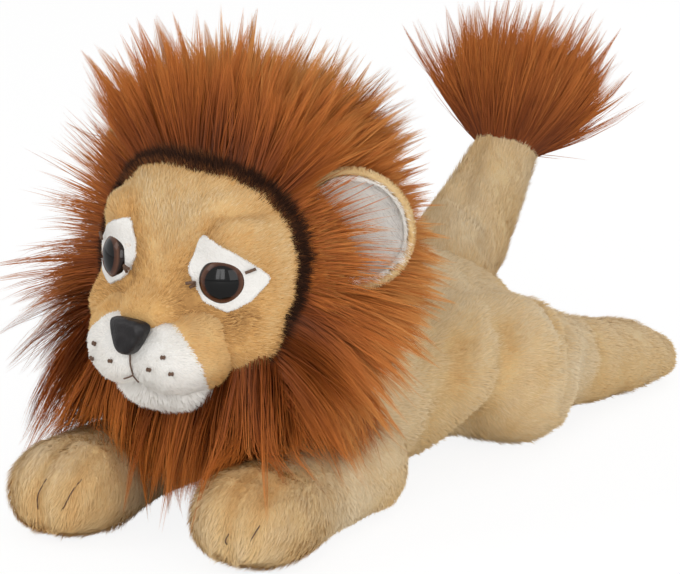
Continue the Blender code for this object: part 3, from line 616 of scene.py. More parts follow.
for side, word in ((1, "left"), (-1, "right")):
    shoulder = (side * 0.0340, -0.0550, 0.0160)
    haunch = (side * 0.0385, 0.0370, 0.0240)

    def paw_tint(found, side=side):
        front = np.clip((-0.085 - found[:, 1]) / 0.040, 0, 1)
        low = np.clip((0.014 - found[:, 2]) / 0.014, 0, 1)
        # Darker gold along the toe creases at the front of the paw: painted shade in the creases.
        xs = (0.0345, 0.0425) if side > 0 else (-0.0330, -0.0225)
        gold_and_fold_shade = sum(np.exp(-(((found[:, 0] - x) / 0.0028) ** 2)) for x in xs)
        gold_and_fold_shade *= front * np.clip(found[:, 2] / 0.02, 0, 1)
        return 0.71 - 0.08 * front - 0.06 * low - 0.13 * gold_and_fold_shade + 0.05 * wander(found, 0.022, 30 + side)

    def paw_comb(found, shoulder=shoulder):
        way = np.zeros_like(found)
        ball = np.clip((-0.108 - found[:, 1]) / 0.024, 0, 1)
        wrist = np.clip((-0.088 - found[:, 1]) / 0.024, 0, 1)
        way[:, 1] = 0.35 - 1.35 * wrist
        way[:, 2] = -0.9
        way[:, 0] = (found[:, 0] - shoulder[0]) * 18 * ball + 0.12 * wander(found, 0.03, 5)
        return way

    def paw_trim(found):
        return 0.62 + 0.38 * np.clip((-0.092 - found[:, 1]) / 0.024, 0, 1)

    toes = []
    for x in ((0.0342, 0.0424) if side > 0 else (-0.0332, -0.0228)):
        toes.append([(x, -0.1395, 0.0090), (x, -0.1385, 0.0180), (x, -0.1330, 0.0250), (x, -0.1250, 0.0285)])
    folds = [(line, 0.0040, 0.0016) for line in toes]
    leg = limb(
        f"front_leg_{word}", shoulder, 0.0330, leg_rows(side, 0.0330, FRONT_LEG, -1), toes, folds,
        paw_tint, paw_comb, 3.2, 0.0044, 40 + 7 * side, paw_trim,
    )
    pulled = ((0.0347, 0.0150, 0.0338, 0.0115), (0.0436, 0.0180, 0.0415, 0.0135))
    if side < 0:
        pulled = ((-0.0305, 0.0220, -0.0337, 0.0122), (-0.0212, 0.0220, -0.0253, 0.0128))
    marks = []
    for out, up, out_end, up_end in pulled:
        steps = [(out + (out_end - out) * t, -0.20, up + (up_end - up) * t) for t in (0, 0.35, 0.7, 1)]
        rises = 0.0002, 0.0014, 0.0014, 0.0002
        marks.append([on_cloth(leg, step, (0, 1, 0), rise) for step, rise in zip(steps, rises)])
    thread_stitches(f"toe_stitches_{word}", marks, 0.0004, f"front_leg_{word}")

    def hind_tint(found, side=side):
        end = np.clip((found[:, 1] - 0.080) / 0.05, 0, 1)
        low = np.clip((0.020 - found[:, 2]) / 0.02, 0, 1)
        # Darker gold along the ankle, knee and shin folds: painted shade in the folds.
        gold_and_fold_shade = sum(np.exp(-((off_line(found, line) / 0.0040) ** 2)) for line in (ankle, knee, shin))
        return 0.70 - 0.03 * end - 0.09 * low - 0.10 * gold_and_fold_shade + 0.05 * wander(found, 0.026, 60 + side)

    def hind_comb(found, side=side):
        way = np.zeros_like(found)
        way[:, 1] = 1
        way[:, 2] = -0.35
        way[:, 0] = side * 0.45 + 0.15 * wander(found, 0.03, 6)
        return way

    ankle = sided(
        side, (0.0460, 0.0600, 0.0420), (0.0541, 0.0532, 0.0374), (0.0618, 0.0430, 0.0286), (0.0612, 0.0410, 0.0174)
    )
    knee = sided(side, (0.0440, 0.0470, 0.0450), (0.0538, 0.0419, 0.0416), (0.0595, 0.0345, 0.0350))
    shin = sided(side, (0.0500, 0.0860, 0.0310), (0.0545, 0.0815, 0.0257), (0.0556, 0.0778, 0.0141))
    folds = [(ankle, 0.0050, 0.0024), (knee, 0.0050, 0.0014), (shin, 0.0050, 0.0013)]
    limb(
        f"hind_leg_{word}", haunch, 0.0490, leg_rows(side, 0.0490, HIND_LEG, 1), [], folds,
        hind_tint, hind_comb, 2.2, 0.0036, 70 + 7 * side,
    )

# Tail: a short stuffed tube of pile cloth that stands up from the rump.
TAIL_ROOT = (0, 0.0720, 0.0500)
TAIL_TUBE = ((0, 0.0120, 0.0090, 0.0170), (0.0010, 0.0270, 0.0200, 0.0142), (0.0010, 0.0430, 0.0340, 0.0122))


def tail_tint(found):
    return 0.67 + 0.05 * wander(found, 0.022, 90)


def tail_comb(found):
    way = np.zeros_like(found)
    way[:, 1], way[:, 2] = 0.6, 0.8
    return way


tail_seat = [(0.012, 0.066, 0.062), (0.017, 0.074, 0.052), (0.012, 0.084, 0.044)]
tail_side = [(-0.0043, 0.0991, 0.0860), (0.0005, 0.0851, 0.0785), (0.0012, 0.0774, 0.0742)]
tail_bend = [(0.0022, 0.0779, 0.0742), (0.0092, 0.0751, 0.0697), (0.0144, 0.0757, 0.0640), (0.0164, 0.0710, 0.0576)]
tail_folds = [(tail_seat, 0.005, 0.0012), (tail_side, 0.0038, 0.0022), (tail_bend, 0.0048, 0.0026)]
limb(
    "tail", TAIL_ROOT, 0.0370, [(x, y, z, h, h) for x, y, z, h in TAIL_TUBE], [], tail_folds,
    tail_tint, tail_comb, 2.6, 0.0036, 95,
)

# Head: a stuffed ball of pile cloth in several panels, with a bridge down to the
# nose and full cheeks. The face is combed outward from the nose, airbrushed gold
# round the eyes, with painted shade along the brow folds and low on the cheeks,
# and edged with dark fur where the mane begins.
HEAD = (
    Matrix.Translation((0, -0.076, 0.083))
    @ Matrix.Rotation(math.radians(-6), 4, "Z")
    @ Matrix.Rotation(math.radians(3.5), 4, "Y")
    @ Matrix.Rotation(math.radians(6), 4, "X")
)
to_head = np.array(HEAD.inverted())
from_head = np.array(HEAD)


def in_head(found):
    return found @ to_head[:3, :3].T + to_head[:3, 3]


def in_row(found):
    return np.asarray(found, float) @ from_head[:3, :3].T + from_head[:3, 3]


HEAD_SHARES = ((0.42, 0.97, 1.0), (0.60, 1.0, 0.98))
head_rows = [(0, (along - 0.48) * 0.080, 0, wide * 0.042, high * 0.040) for along, wide, high in HEAD_SHARES]
skull = stuffed_cover(head_rows, (0.42 * 0.080, 0.40 * 0.080), PILE_RISE)
egg(skull, (0, -0.0350, -0.0045), (0.0128, 0.0158, 0.0080))
for side in (1, -1):
    egg(skull, (side * 0.0205, -0.0230, -0.0130), (0.0150, 0.0130, 0.0140))
    egg(skull, (side * 0.0155, -0.0215, 0.0170), (0.0145, 0.0118, 0.0108))
bmesh.ops.transform(skull, matrix=HEAD, verts=skull.verts[:])
head_cloth = object_of("head_cloth", skull, tan_cloth)
shaped(head_cloth, "REMESH", mode="VOXEL", voxel_size=0.0028)
shaped(head_cloth, "SMOOTH", iterations=6)
swell(head_cloth, [], 0.0008)
shaped(head_cloth, "SUBSURF", levels=1, render_levels=1)
face_seams, brow_folds = [], []
for side in (1, -1):
    seam = sided(side, (0.0135, -0.0365, 0.0030), (0.0092, -0.0378, -0.0030), (0.0068, -0.0425, -0.0055))
    face_seams.append(in_row(seam))
    crease(head_cloth, face_seams[-1], 0.0030, 0.0014)
    cheek_fold = sided(side, (0.0225, -0.0320, -0.0060), (0.0245, -0.0285, -0.0150))
    crease(head_cloth, in_row(cheek_fold), 0.0042, 0.0012)
    nose_side = sided(side, (0.0120, -0.0340, 0.0150), (0.0110, -0.0360, 0.0060))
    crease(head_cloth, in_row(nose_side), 0.0045, 0.0010)
    brow = sided(
        side, (0.0139, -0.031, 0.0215), (0.0160, -0.029, 0.0245), (0.0215, -0.025, 0.0264), (0.0270, -0.018, 0.0268)
    )
    brow_folds.append(in_row(brow))
    crease(head_cloth, brow_folds[-1], 0.0036, 0.0016)


def face_edge(found):
    """How far behind the face's edge a point of the head is, in the head's own frame."""
    at = in_head(found)
    round_ = np.degrees(np.arctan2(np.abs(at[:, 0]), at[:, 2]))
    opened = np.degrees(np.arctan2(np.hypot(at[:, 0], at[:, 2]), -at[:, 1]))
    turns, openings = (0, 20, 37, 61, 91, 110, 124, 145, 180), (61.5, 66, 71, 73, 66, 58, 51, 46, 44)
    edge = np.mean([np.interp(np.abs(round_ + k), turns, openings) for k in (-12, -6, 0, 6, 12)], axis=0)
    return np.radians(opened - edge) * 0.042, at


def head_tint(found):
    back, at = face_edge(found)
    gold_and_fold_shade = np.exp(-((np.hypot(at[:, 0] * 0.9, at[:, 2] - 0.001) / 0.015) ** 2)) * 0.15
    for side in (1, -1):
        ring = np.linalg.norm(at - np.array((side * 0.0215, -0.034, 0.0065)), axis=1)
        gold_and_fold_shade += 0.17 * np.exp(-(((ring - 0.013) / 0.0060) ** 2))
        # Deeper gold along each brow fold: airbrush, with painted shade in the fold.
        gold_and_fold_shade += 0.13 * np.exp(-((off_line(found, brow_folds[side < 0]) / 0.0032) ** 2))
    # Darker gold low on the cheeks beside the muzzle: airbrush, with painted shade under the cheeks.
    cheek = np.exp(-(((at[:, 2] + 0.016) / 0.012) ** 2)) * np.clip(-at[:, 1] / 0.03, 0, 1) * 0.14
    shade = 0.60 - gold_and_fold_shade - cheek + 0.04 * wander(found, 0.016, 101)
    shade -= 0.20 * np.exp(np.minimum(back, 0) / 0.0042)
    dark = np.clip((back + 0.0050 + 0.0006 * wander(found, 0.004, 103)) / 0.0060, 0, 1) ** 1.6
    dark *= np.clip((at[:, 2] + 0.013) / 0.013, 0, 1)
    behind = np.clip((back - 0.0030) / 0.0030, 0, 1)
    return shade * (1 - dark) + (0.03 + 0.16 * behind) * dark


def head_comb(found):
    at = in_head(found)
    way = at - np.array((0, -0.058, -0.004))
    return way @ from_head[:3, :3].T


def face_trim(found):
    near = np.min([off_line(found, line) for line in face_seams], 0)
    at = in_head(found)
    snout = np.clip((-at[:, 1] - 0.036) / 0.012, 0, 1)
    return (1 - 0.5 * np.exp(-((near / 0.0014) ** 2))) * (1 - 0.35 * snout)


shade_cloth(head_cloth, head_tint)
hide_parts("head_cover")
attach(head_cloth, "body")
filling_under("head_filling", head_cloth, "head_stuffing", "body")
face_pile = pile(
    "face_pile", head_cloth, 7.0, 0.0027, head_comb, head_tint, tan_pile, 110,
    keep=lambda found: face_edge(found)[0] < 0.003, trim=face_trim, thin=0.00020, vary=0.065,
)
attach(face_pile, "body")

# Dark edging: a strip of darker, slightly longer fur sewn between the face and the
# mane, so that the face's edge is soft.
DARK_DYES = ((30, 18, 13), (70, 42, 27), (146, 90, 50))
dark_pile = hair_material("dark_pile", DARK_DYES, root=0.7)
root, faced, rng = scatter(head_cloth, 26.0, 120)
back, at = face_edge(root)
back = back + 0.0005 * wander(root, 0.005, 121) + rng.normal(size=len(root)) * 0.0007
slim = np.clip((np.arctan2(np.abs(at[:, 0]), at[:, 2]) - 0.8) / 0.8, 0, 1)
fade = np.clip((-0.002 - at[:, 2]) / 0.014, 0, 1)
kept = (back > -0.0022 + 0.0014 * slim + 0.0010 * fade) & (back < 0.0028 - 0.0014 * slim)
kept &= (at[:, 2] > -0.018) & (rng.random(len(root)) > 0.85 * fade)
root, faced, at, back = root[kept], faced[kept], at[kept], back[kept]
spoke = at.copy()
spoke[:, 1] = 0
spoke = unit(spoke)
spoke[:, 1] = 0.10
spoke = unit(spoke @ from_head[:3, :3].T + faced * 0.9 + rng.normal(size=root.shape) * 0.16)
far_in = np.clip((back + 0.0020) / 0.0050, 0, 1)
long = (0.0030 + 0.0026 * far_in) * rng.uniform(0.6, 1.1, len(root))
path = np.stack([root - faced * 0.0003, root + spoke * (long * 0.5)[:, None], root + spoke * long[:, None]], 1)
shade = np.clip(0.16 + 2.2 * np.abs(far_in - 0.45) ** 1.7 + rng.normal(size=len(root)) * 0.14, 0, 1)
wide, roll = np.full(len(root), 0.00017), rng.normal(size=len(root)) * 0.6
edging = hair("dark_edging", path, wide, (1, 0.85, 0), shade, faced, roll, dark_pile)
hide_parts("face_trim")
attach(edging, "body")

# Ears: a round cup of tan pile cloth with a pale lining, gathered at its root and
# sewn flat on the side of the head.


def spun(line, steps):
    """A surface turned from a profile, which is given as (radius, height)."""
    bm = bmesh.new()
    verts = [bm.verts.new((r, 0, z)) for r, z in line]
    edges = [bm.edges.new(pair) for pair in zip(verts, verts[1:])]
    round_ = {"cent": (0, 0, 0), "axis": (0, 0, 1), "angle": 2 * math.pi}
    bmesh.ops.spin(bm, geom=verts + edges, steps=steps, use_merge=True, **round_)
    bmesh.ops.remove_doubles(bm, verts=bm.verts[:], dist=0.00001)
    bmesh.ops.recalc_face_normals(bm, faces=bm.faces[:])
    return bm


ear_turns = {}
lining_pile = hair_material("lining_pile", ((236, 226, 214), (250, 245, 238), (255, 253, 249)), root=0.98)
EAR_AT, EAR_SIZE, EAR_DEPTH, EAR_SPLAY = (0.0430, 0.0050, 0.0162), (0.0388, 0.0402), 0.0090, math.radians(24)
for side, word in ((1, "left"), (-1, "right")):
    turn = Matrix.Translation((side * EAR_AT[0], EAR_AT[1], EAR_AT[2])) @ Matrix.Rotation(side * EAR_SPLAY, 4, "Z")
    turn = HEAD @ turn @ Matrix.Rotation(math.pi / 2, 4, "X")
    ear_turns[word] = turn

    def cup(name, radius, depth, thick, rim, material, turn=turn):
        """A shallow turned cup that opens forward, with a rolled rim."""
        steps = [math.pi / 2 * k / 9 for k in range(10)]
        line = [(radius * math.sin(t), -depth * math.cos(t)) for t in steps]
        line += [(radius - thick * (1 - math.cos(t)) / 2, rim * math.sin(t)) for t in np.linspace(0.5, math.pi, 6)]
        line += [((radius - thick) * math.sin(t), -(depth - thick) * math.cos(t)) for t in steps[-2:0:-1]]
        line.append((0, -(depth - thick)))
        bm = spun(line, 48)
        wider = Matrix.Diagonal((EAR_SIZE[0] / EAR_SIZE[1], 1, 1, 1))
        bmesh.ops.transform(bm, matrix=turn @ wider, verts=bm.verts[:])
        return object_of(name, bm, material)

    def ear_tint(found):
        return 0.60 + 0.05 * wander(found, 0.01, 130)

    def ear_comb(found, turn=turn):
        return found - np.array(turn.translation) + np.array(turn.to_3x3() @ Vector((0, 0, 0.006)))

    def lining_comb(found, turn=turn, side=side):
        return np.tile(np.array(turn.to_3x3() @ Vector((side, -0.35, 0.15))), (len(found), 1))

    back_cup = cup(f"ear_{word}_cloth", EAR_SIZE[1] / 2 - 0.0006, EAR_DEPTH - 0.0012, 0.0022, 0.0012, tan_cloth)
    shade_cloth(back_cup, ear_tint)
    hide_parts(f"ear_back_{word}")
    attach(back_cup, "body")
    ear_pile = pile(f"ear_{word}_pile", back_cup, 4.0, 0.0016, ear_comb, ear_tint, tan_pile, 131 + side, lean=0.6)
    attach(ear_pile, "body")
    lining = cup(
        f"ear_{word}_lining_cloth", EAR_SIZE[1] / 2 - 0.0030, EAR_DEPTH - 0.0036, 0.0012, 0.0004, white_cloth
    )
    shade_cloth(lining, lambda found: np.full(len(found), 0.85))
    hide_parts(f"ear_lining_{word}")
    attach(lining, "body")
    ear_hair = pile(
        f"ear_{word}_lining_pile", lining, 6.0 if side > 0 else 3.0, 0.0034, lining_comb,
        lambda found: 0.97 + 0.03 * wander(found, 0.008, 140), lining_pile, 141 + side, lean=0.6,
    )
    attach(ear_hair, "body")

# Muzzle and chin: two stuffed pads of white pile with tan sides, and a smaller
# white pad below them, sewn on the front of the head.
WHITE_EDGE = np.array((0.497, 0.779, 0.382)), np.array((0.0070, -0.0425, -0.0051))


def beyond_white(found, side):
    """How far a point of a muzzle pad lies beyond the seam between white and tan."""
    at = in_head(found) * (side, 1, 1)
    return (at - WHITE_EDGE[1]) @ WHITE_EDGE[0]


for side, word in ((1, "left"), (-1, "right")):
    bm = bmesh.new()
    egg(bm, (side * 0.0080, -0.0400, -0.0176), (0.0150 - 0.0006, 0.0145 - 0.0006, 0.0130 - 0.0006))
    egg(bm, (side * 0.0125, -0.0345, -0.0165), (0.0122, 0.0148, 0.0128))
    bmesh.ops.transform(bm, matrix=HEAD, verts=bm.verts[:])
    pad = object_of(f"muzzle_{word}_cloth", bm, white_cloth)
    shaped(pad, "REMESH", mode="VOXEL", voxel_size=0.0011)
    shaped(pad, "SMOOTH", iterations=5)
    pad.data.materials.append(tan_cloth)
    white_seam = in_row(sided(
        side, (0.0070, -0.0425, -0.0051), (0.0160, -0.0460, -0.0095),
        (0.0205, -0.0435, -0.0170), (0.0205, -0.0395, -0.0245),
    ))
    crease(pad, white_seam, 0.0022, 0.0008)
    beyond = beyond_white(places(pad.data), side)
    for face in pad.data.polygons:
        face.material_index = int(beyond[face.vertices[0]] > 0)
    shade_cloth(pad, lambda found: np.where(beyond_white(found, side) > 0, 0.48, 0.9))
    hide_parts(f"muzzle_{word}")
    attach(pad, "body")

    def pad_trim(found, side=side, white_seam=white_seam):
        at = in_head(found)
        nose = np.exp(-((np.linalg.norm((at - (0, -0.053, -0.010)) * (0.8, 1, 1), axis=1) / 0.009) ** 4))
        return (1 - 0.4 * np.exp(-((off_line(found, white_seam) / 0.0010) ** 2))) * (1 - 0.45 * nose)

    def pad_comb(found):
        at = in_head(found)
        return (at - np.array((0, -0.062, -0.006))) @ from_head[:3, :3].T

    white = pile(
        f"muzzle_{word}_pile", pad, 8.0, 0.0021, pad_comb, lambda found: 0.82 + 0.12 * wander(found, 0.006, 150),
        white_pile, 151 + side, keep=lambda found: beyond_white(found, side) < 0, trim=pad_trim, thin=0.00024,
    )
    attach(white, "body")
    tan = pile(
        f"muzzle_{word}_side_pile", pad, 7.0, 0.0026, pad_comb, lambda found: 0.44 + 0.05 * wander(found, 0.008, 152),
        tan_pile, 153 + side, keep=lambda found: beyond_white(found, side) > 0, trim=pad_trim, thin=0.00024,
    )
    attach(tan, "body")

bm = bmesh.new()
egg(bm, (0.0014, -0.0368, -0.0282), (0.0156, 0.0110, 0.0084))
bmesh.ops.transform(bm, matrix=HEAD, verts=bm.verts[:])
chin = object_of("chin_cloth", bm, white_cloth)
shade_cloth(chin, lambda found: np.full(len(found), 0.85))
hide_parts("chin")
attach(chin, "body")
chin_pile = pile(
    "chin_pile", chin, 7.0, 0.0032, head_comb, lambda found: 0.8 + 0.14 * wander(found, 0.006, 160),
    white_pile, 161, thin=0.00024, lean=0.5,
)
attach(chin_pile, "body")

# Nose: a padded wedge of dark satin-grained cloth, wide at the top, sewn down at
# the front of the muzzle above the mouth thread.
nose_cloth, nose_tree, nose_shader = new_material("nose_cloth", 0.42)
place = new_node(nose_tree, "TexCoord").outputs["Object"]
grain = new_node(nose_tree, "TexVoronoi", Vector=place, Scale=1600)
tone = new_node(nose_tree, "TexNoise", Vector=place, Scale=220)
pulled = new_node(nose_tree, "TexNoise", Vector=place, Scale=170, Detail=1)
fold = new_node(nose_tree, "Bump", Strength=0.9, Distance=0.0024, Height=pulled)
pebble = new_node(nose_tree, "Bump", Strength=0.35, Distance=0.0002, Normal=fold, Height=grain)
nose_colour = shade_ramp(nose_tree, ((12, 10, 11), (34, 30, 31)), tone)
plug(nose_tree, nose_shader, Specular_IOR_Level=0.3, Base_Color=nose_colour, Normal=pebble)
bm = bmesh.new()
bmesh.ops.create_cube(bm, size=1, matrix=Matrix.Diagonal((0.0158, 0.0064, 0.0100, 1)))
bmesh.ops.subdivide_edges(bm, edges=bm.edges[:], cuts=1, use_grid_fill=True)
for vert in bm.verts:
    down = max(0, 0.5 - vert.co.z / 0.0100)
    vert.co.x *= 1 - 0.66 * down ** 1.2
    vert.co.y -= 0.0016 * math.cos(vert.co.x / 0.0158 * math.pi) * (1 - 0.5 * down)
    vert.co.z -= 0.0012 * math.cos(vert.co.x / 0.0158 * math.pi * 0.9) * down
nose_seat = HEAD @ Matrix.Translation((0.0006, -0.0526, -0.0088)) @ Matrix.Rotation(math.radians(-14), 4, "X")
bmesh.ops.transform(bm, matrix=nose_seat, verts=bm.verts[:])
bmesh.ops.recalc_face_normals(bm, faces=bm.faces[:])
nose = object_of("nose_pad", bm, nose_cloth)
shaped(nose, "SUBSURF", levels=2, render_levels=2)
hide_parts("nose")
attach(nose, "body")

# Mouth and whisker stitches: brown thread, pulled through the muzzle.
def head_line(points, rise=0.0006):
    """A thread laid on the muzzle: each point is (out, up) on it, as seen from before the face."""
    pads = [bpy.data.objects[f"muzzle_{word}_cloth"] for word in ("left", "right")]
    found = []
    for out, up in points:
        pad = pads[0] if out >= 0 else pads[1]
        start = HEAD @ Vector((out, -0.10, up))
        found.append(on_cloth(pad, start, HEAD.to_3x3() @ Vector((0, 1, 0)), rise))
    return found


mouth = [head_line([(0.0004, z) for z in (-0.0150, -0.0175, -0.0200, -0.0222)], 0.0008)]
for side in (1, -1):
    far = 0.0028 if side > 0 else 0.0034
    mouth.append(head_line([(side * 0.0004, -0.0222), (side * far * 0.5, -0.0232), (side * far, -0.0238)], 0.0010))
thread_stitches("mouth_thread", mouth, 0.0005, "body")
whiskers = []
for side in (1, -1):
    dots = ((0.0130, -0.0138), (0.0090, -0.0178), (0.0154, -0.0183))
    if side < 0:
        dots = ((0.0060, -0.0182), (0.0125, -0.0147), (0.0138, -0.0195))
    for out, up in dots:
        for slant in (-0.0003, 0.0003):
            ends = (side * (out - 0.0006), up - slant), (side * out, up), (side * (out + 0.0006), up + slant)
            whiskers.append(head_line(ends, 0.0010))
thread_stitches("whisker_stitches", whiskers, 0.0009, "body")

# Eyes: domed plastic eyes with a brown ring round a black pupil, each pushed
# through a patch of short white cloth and locked inside the head by a washer.
EYE_WIDE, EYE_BULGE = 0.0144, 0.0044
PATCH_SHARES = (
    (-0.70, 0.16), (-0.70, 0.26), (-0.44, 0.86), (-0.36, 0.92), (-0.26, 0.91), (0.30, 0.60),
    (0.92, 0.14), (0.97, 0.06), (0.94, -0.04), (0.58, -0.42), (0.16, -0.64), (0.06, -0.64), (-0.40, -0.40),
)
eye_turns = {}
for side, word in ((1, "left"), (-1, "right")):
    splay, raise_ = math.radians(32.5), math.radians(9)
    level = math.cos(raise_)
    way = HEAD.to_3x3() @ Vector((side * math.sin(splay) * level, -math.cos(splay) * level, math.sin(raise_)))
    far = max((vert.co - HEAD.translation).dot(way) for vert in nodes_of[f"eye_{word}"].data.vertices)
    seat = HEAD.translation + way * (far - EYE_BULGE)
    turned = (HEAD.to_3x3().inverted() @ way).to_track_quat("Z", "Y").to_matrix().to_4x4()
    turned = Matrix.Translation(seat) @ HEAD.to_3x3().to_4x4() @ turned
    eye_turns[word] = turned

    eye_glaze, eye_tree, eye_shader = new_material(f"eye_glaze_{word}", 0.10)
    centred = new_node(eye_tree, "Mapping")
    centred.vector_type = "TEXTURE"
    plug(
        eye_tree, centred, Vector=new_node(eye_tree, "TexCoord").outputs["Object"], Location=turned.translation,
        Rotation=turned.to_euler(), Scale=(EYE_WIDE / 2, EYE_WIDE / 2, EYE_WIDE * 50),
    )
    radius = new_node(eye_tree, "VectorMath", "LENGTH", _0=centred)
    bands = new_node(eye_tree, "ValToRGB", Fac=radius.outputs["Value"])
    steps = bands.color_ramp.elements
    steps[0].color = dye(7, 6, 6)
    steps[1].color = dye(20, 12, 10)
    for at, colour in ((0.70, (8, 7, 7)), (0.73, (62, 36, 26)), (0.87, (92, 60, 44)), (0.93, (36, 23, 18))):
        step = steps.new(at)
        step.color = dye(*colour)
    plug(
        eye_tree, eye_shader, Coat_Weight=0.40, Coat_Roughness=0.02, Specular_IOR_Level=0.05, Base_Color=bands
    )
    line = [(0, -0.0080), (0.0016, -0.0080), (0.0016, 0), (EYE_WIDE / 2 - 0.0004, 0)]
    dome = [(EYE_WIDE / 2 * math.cos(t), EYE_BULGE * math.sin(t) + 0.0002) for t in np.linspace(0.06, math.pi / 2, 16)]
    bm = spun(line + dome[:-1] + [(0, EYE_BULGE + 0.0002)], 64)
    bmesh.ops.transform(bm, matrix=turned, verts=bm.verts[:])
    eye = object_of(f"eye_{word}_dome", bm, eye_glaze)
    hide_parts(f"eye_{word}")
    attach(eye, "body")

    bm = bmesh.new()
    bmesh.ops.create_grid(bm, x_segments=48, y_segments=48, size=EYE_WIDE * 1.15)
    outline = [Vector((side * across * EYE_WIDE, up * EYE_WIDE, 0)) for across, up in PATCH_SHARES]
    middle = sum(outline, Vector()) / len(outline)
    for a, b in zip(outline, outline[1:] + outline[:1]):
        out = (b - a).cross(Vector((0, 0, 1))).normalized()
        if out.dot(a - middle) < 0:
            out = -out
        geom = bm.verts[:] + bm.edges[:] + bm.faces[:]
        bmesh.ops.bisect_plane(bm, geom=geom, plane_co=a, plane_no=out, clear_outer=True)
    bmesh.ops.transform(bm, matrix=turned @ Matrix.Translation((0, 0, 0.02)), verts=bm.verts[:])
    under = head_cloth.data
    tree = BVHTree.FromPolygons([v.co for v in under.vertices], [p.vertices for p in under.polygons])
    for vert in bm.verts:
        spot, faced, _, _ = tree.ray_cast(vert.co, -way)
        vert.co = spot + faced * 0.0012
    inner = [v for v in bm.verts if not v.is_boundary]
    for _ in range(3):
        bmesh.ops.smooth_vert(bm, verts=inner, factor=0.5, use_axis_x=True, use_axis_y=True, use_axis_z=True)
    bmesh.ops.recalc_face_normals(bm, faces=bm.faces[:])
    if sum(face.normal.dot(way) for face in bm.faces) < 0:
        bmesh.ops.reverse_faces(bm, faces=bm.faces[:])
    patch = object_of(f"eye_patch_{word}_cloth", bm, white_cloth)
    shaped(patch, "SOLIDIFY", thickness=0.0010, offset=-1)
    shade_cloth(patch, lambda found: np.full(len(found), 0.95))
    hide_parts(f"eye_patch_{word}")
    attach(patch, "body")

    def patch_comb(found, seat=seat):
        return found - np.array(seat)

    nap = pile(
        f"eye_patch_{word}_nap", patch, 6.0, 0.0009, patch_comb, lambda found: 0.9 + 0.08 * wander(found, 0.005, 170),
        white_pile, 171 + side, lean=0.7, thin=0.00022,
    )
    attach(nap, "body")
    corners = []
    for across, up, end_across, end_up in (
        (-0.48, 0.01, -0.80, -0.07), (-0.48, -0.03, -0.72, -0.15), (0.47, 0.22, 0.68, 0.30)
    ):
        points = []
        for t in (0, 0.5, 1):
            out, high = across + (end_across - across) * t, up + (end_up - up) * t
            start = turned @ Vector((side * EYE_WIDE * out, EYE_WIDE * high, 0.02))
            points.append(on_cloth(head_cloth, start, -way, 0.0026))
        corners.append(points)
    thread_stitches(f"eye_stitches_{word}", corners, 0.0010, "body")

    washer = mottled(f"washer_{word}", ((206, 206, 200), (226, 226, 220)), 300, 0.5)
    ring = nodes_of[f"eye_washer_{word}"]
    for index in range(max(1, len(ring.material_slots))):
        if ring.material_slots:
            ring.material_slots[index].material = washer
        else:
            ring.data.materials.append(washer)

# The window as the eyes mirror it: their domes alone take its brighter light.
mirrored_in = bpy.data.collections.new("mirrored_in")
for word in ("left", "right"):
    mirrored_in.objects.link(bpy.data.objects[f"eye_{word}_dome"])
for name in ("window_pane", "second_pane"):
    bright = bpy.data.objects.new(f"{name}_mirrored", bpy.data.objects[name].data.copy())
    bright.data.energy = 19
    bright.location = bpy.data.objects[name].location
    bright.rotation_euler = bpy.data.objects[name].rotation_euler
    bright.visible_diffuse = False
    bright.light_linking.receiver_collection = mirrored_in
    scene.collection.objects.link(bright)

# Mane: long rust fur sewn behind the dark edging all round the head, in two halves
# and a bib under the chin. It stands off the head, gathers into pointed locks,
# hangs below the chin and lies back over the shoulders.
MANE_DYES = ((62, 27, 10), (146, 73, 25), (194, 111, 46), (213, 150, 82), (232, 194, 136))
mane_hair = hair_material("mane_hair", MANE_DYES, root=0.76, roughness=0.6, shine=0.2, paler=0.32)
down = np.array((0, 0, -1.0))


def push_out(path, centre, halves):
    """Keeps strands outside a rounded form."""
    off = (path - np.array(centre)) / np.array(halves)
    far = np.linalg.norm(off, axis=-1, keepdims=True)
    return np.where(far < 1, np.array(centre) + off / np.maximum(far, 1e-6) * np.array(halves), path)


BODY_ROOM = ((0, 0.0085, 0.0320), (0.0430, 0.0900, 0.0345))
LEG_ROOMS = [
    ((side * 0.0340, -0.0900 + 0.017 * k, 0.0150), (0.0195, 0.0190, 0.0185))
    for side in (1, -1) for k in (-2, -1, 0, 1, 2)
]


def smooth(t):
    t = np.clip(t, 0, 1)
    return t * t * (3 - 2 * t)


def beside_ears(path, kept, rng):
    """Strands before an ear end over its lining, and those behind it pass behind its back."""
    for side, word in ((1, "left"), (-1, "right")):
        turn = ear_turns[word]
        into, back_out = np.array(turn.inverted()), np.array(turn)
        near = path @ into[:3, :3].T + into[:3, 3]
        across = np.hypot(near[..., 0] / 0.0190, near[..., 1] / 0.0212)
        over = across < 1
        before = (near[:, 0, 2] > -0.0040)[:, None]
        hollow = 0.0095 * np.sqrt(np.clip(1 - across**2, 0, 1))
        lifted = np.where(before, np.maximum(near[..., 2], 0.0010), np.minimum(near[..., 2], -hollow - 0.0012))
        near[..., 2] = np.where(over, lifted, near[..., 2])
        moved = near @ back_out[:3, :3].T + back_out[:3, 3]
        levels = path.shape[1]
        crossing = over.any(1) & before[:, 0]
        enters = np.where(crossing, over.argmax(1), levels - 1) / (levels - 1)
        crosses = 0.10 if side > 0 else 0.9
        far_over = np.where(rng.random(len(path)) < crosses, 0.85, 0.12) * rng.random(len(path))
        reach = np.clip(enters + 0.02 + far_over, 0.12, 1)
        ends = np.where(crossing, np.minimum(reach, kept), kept)[:, None] * np.linspace(0, 1, levels) * (levels - 1)
        kept = np.ones(len(path))
        low = np.minimum(ends.astype(int), levels - 2)
        part = (ends - low)[..., None]
        rows_ = np.arange(len(path))[:, None]
        path = moved[rows_, low] * (1 - part) + moved[rows_, low + 1] * part
    return path


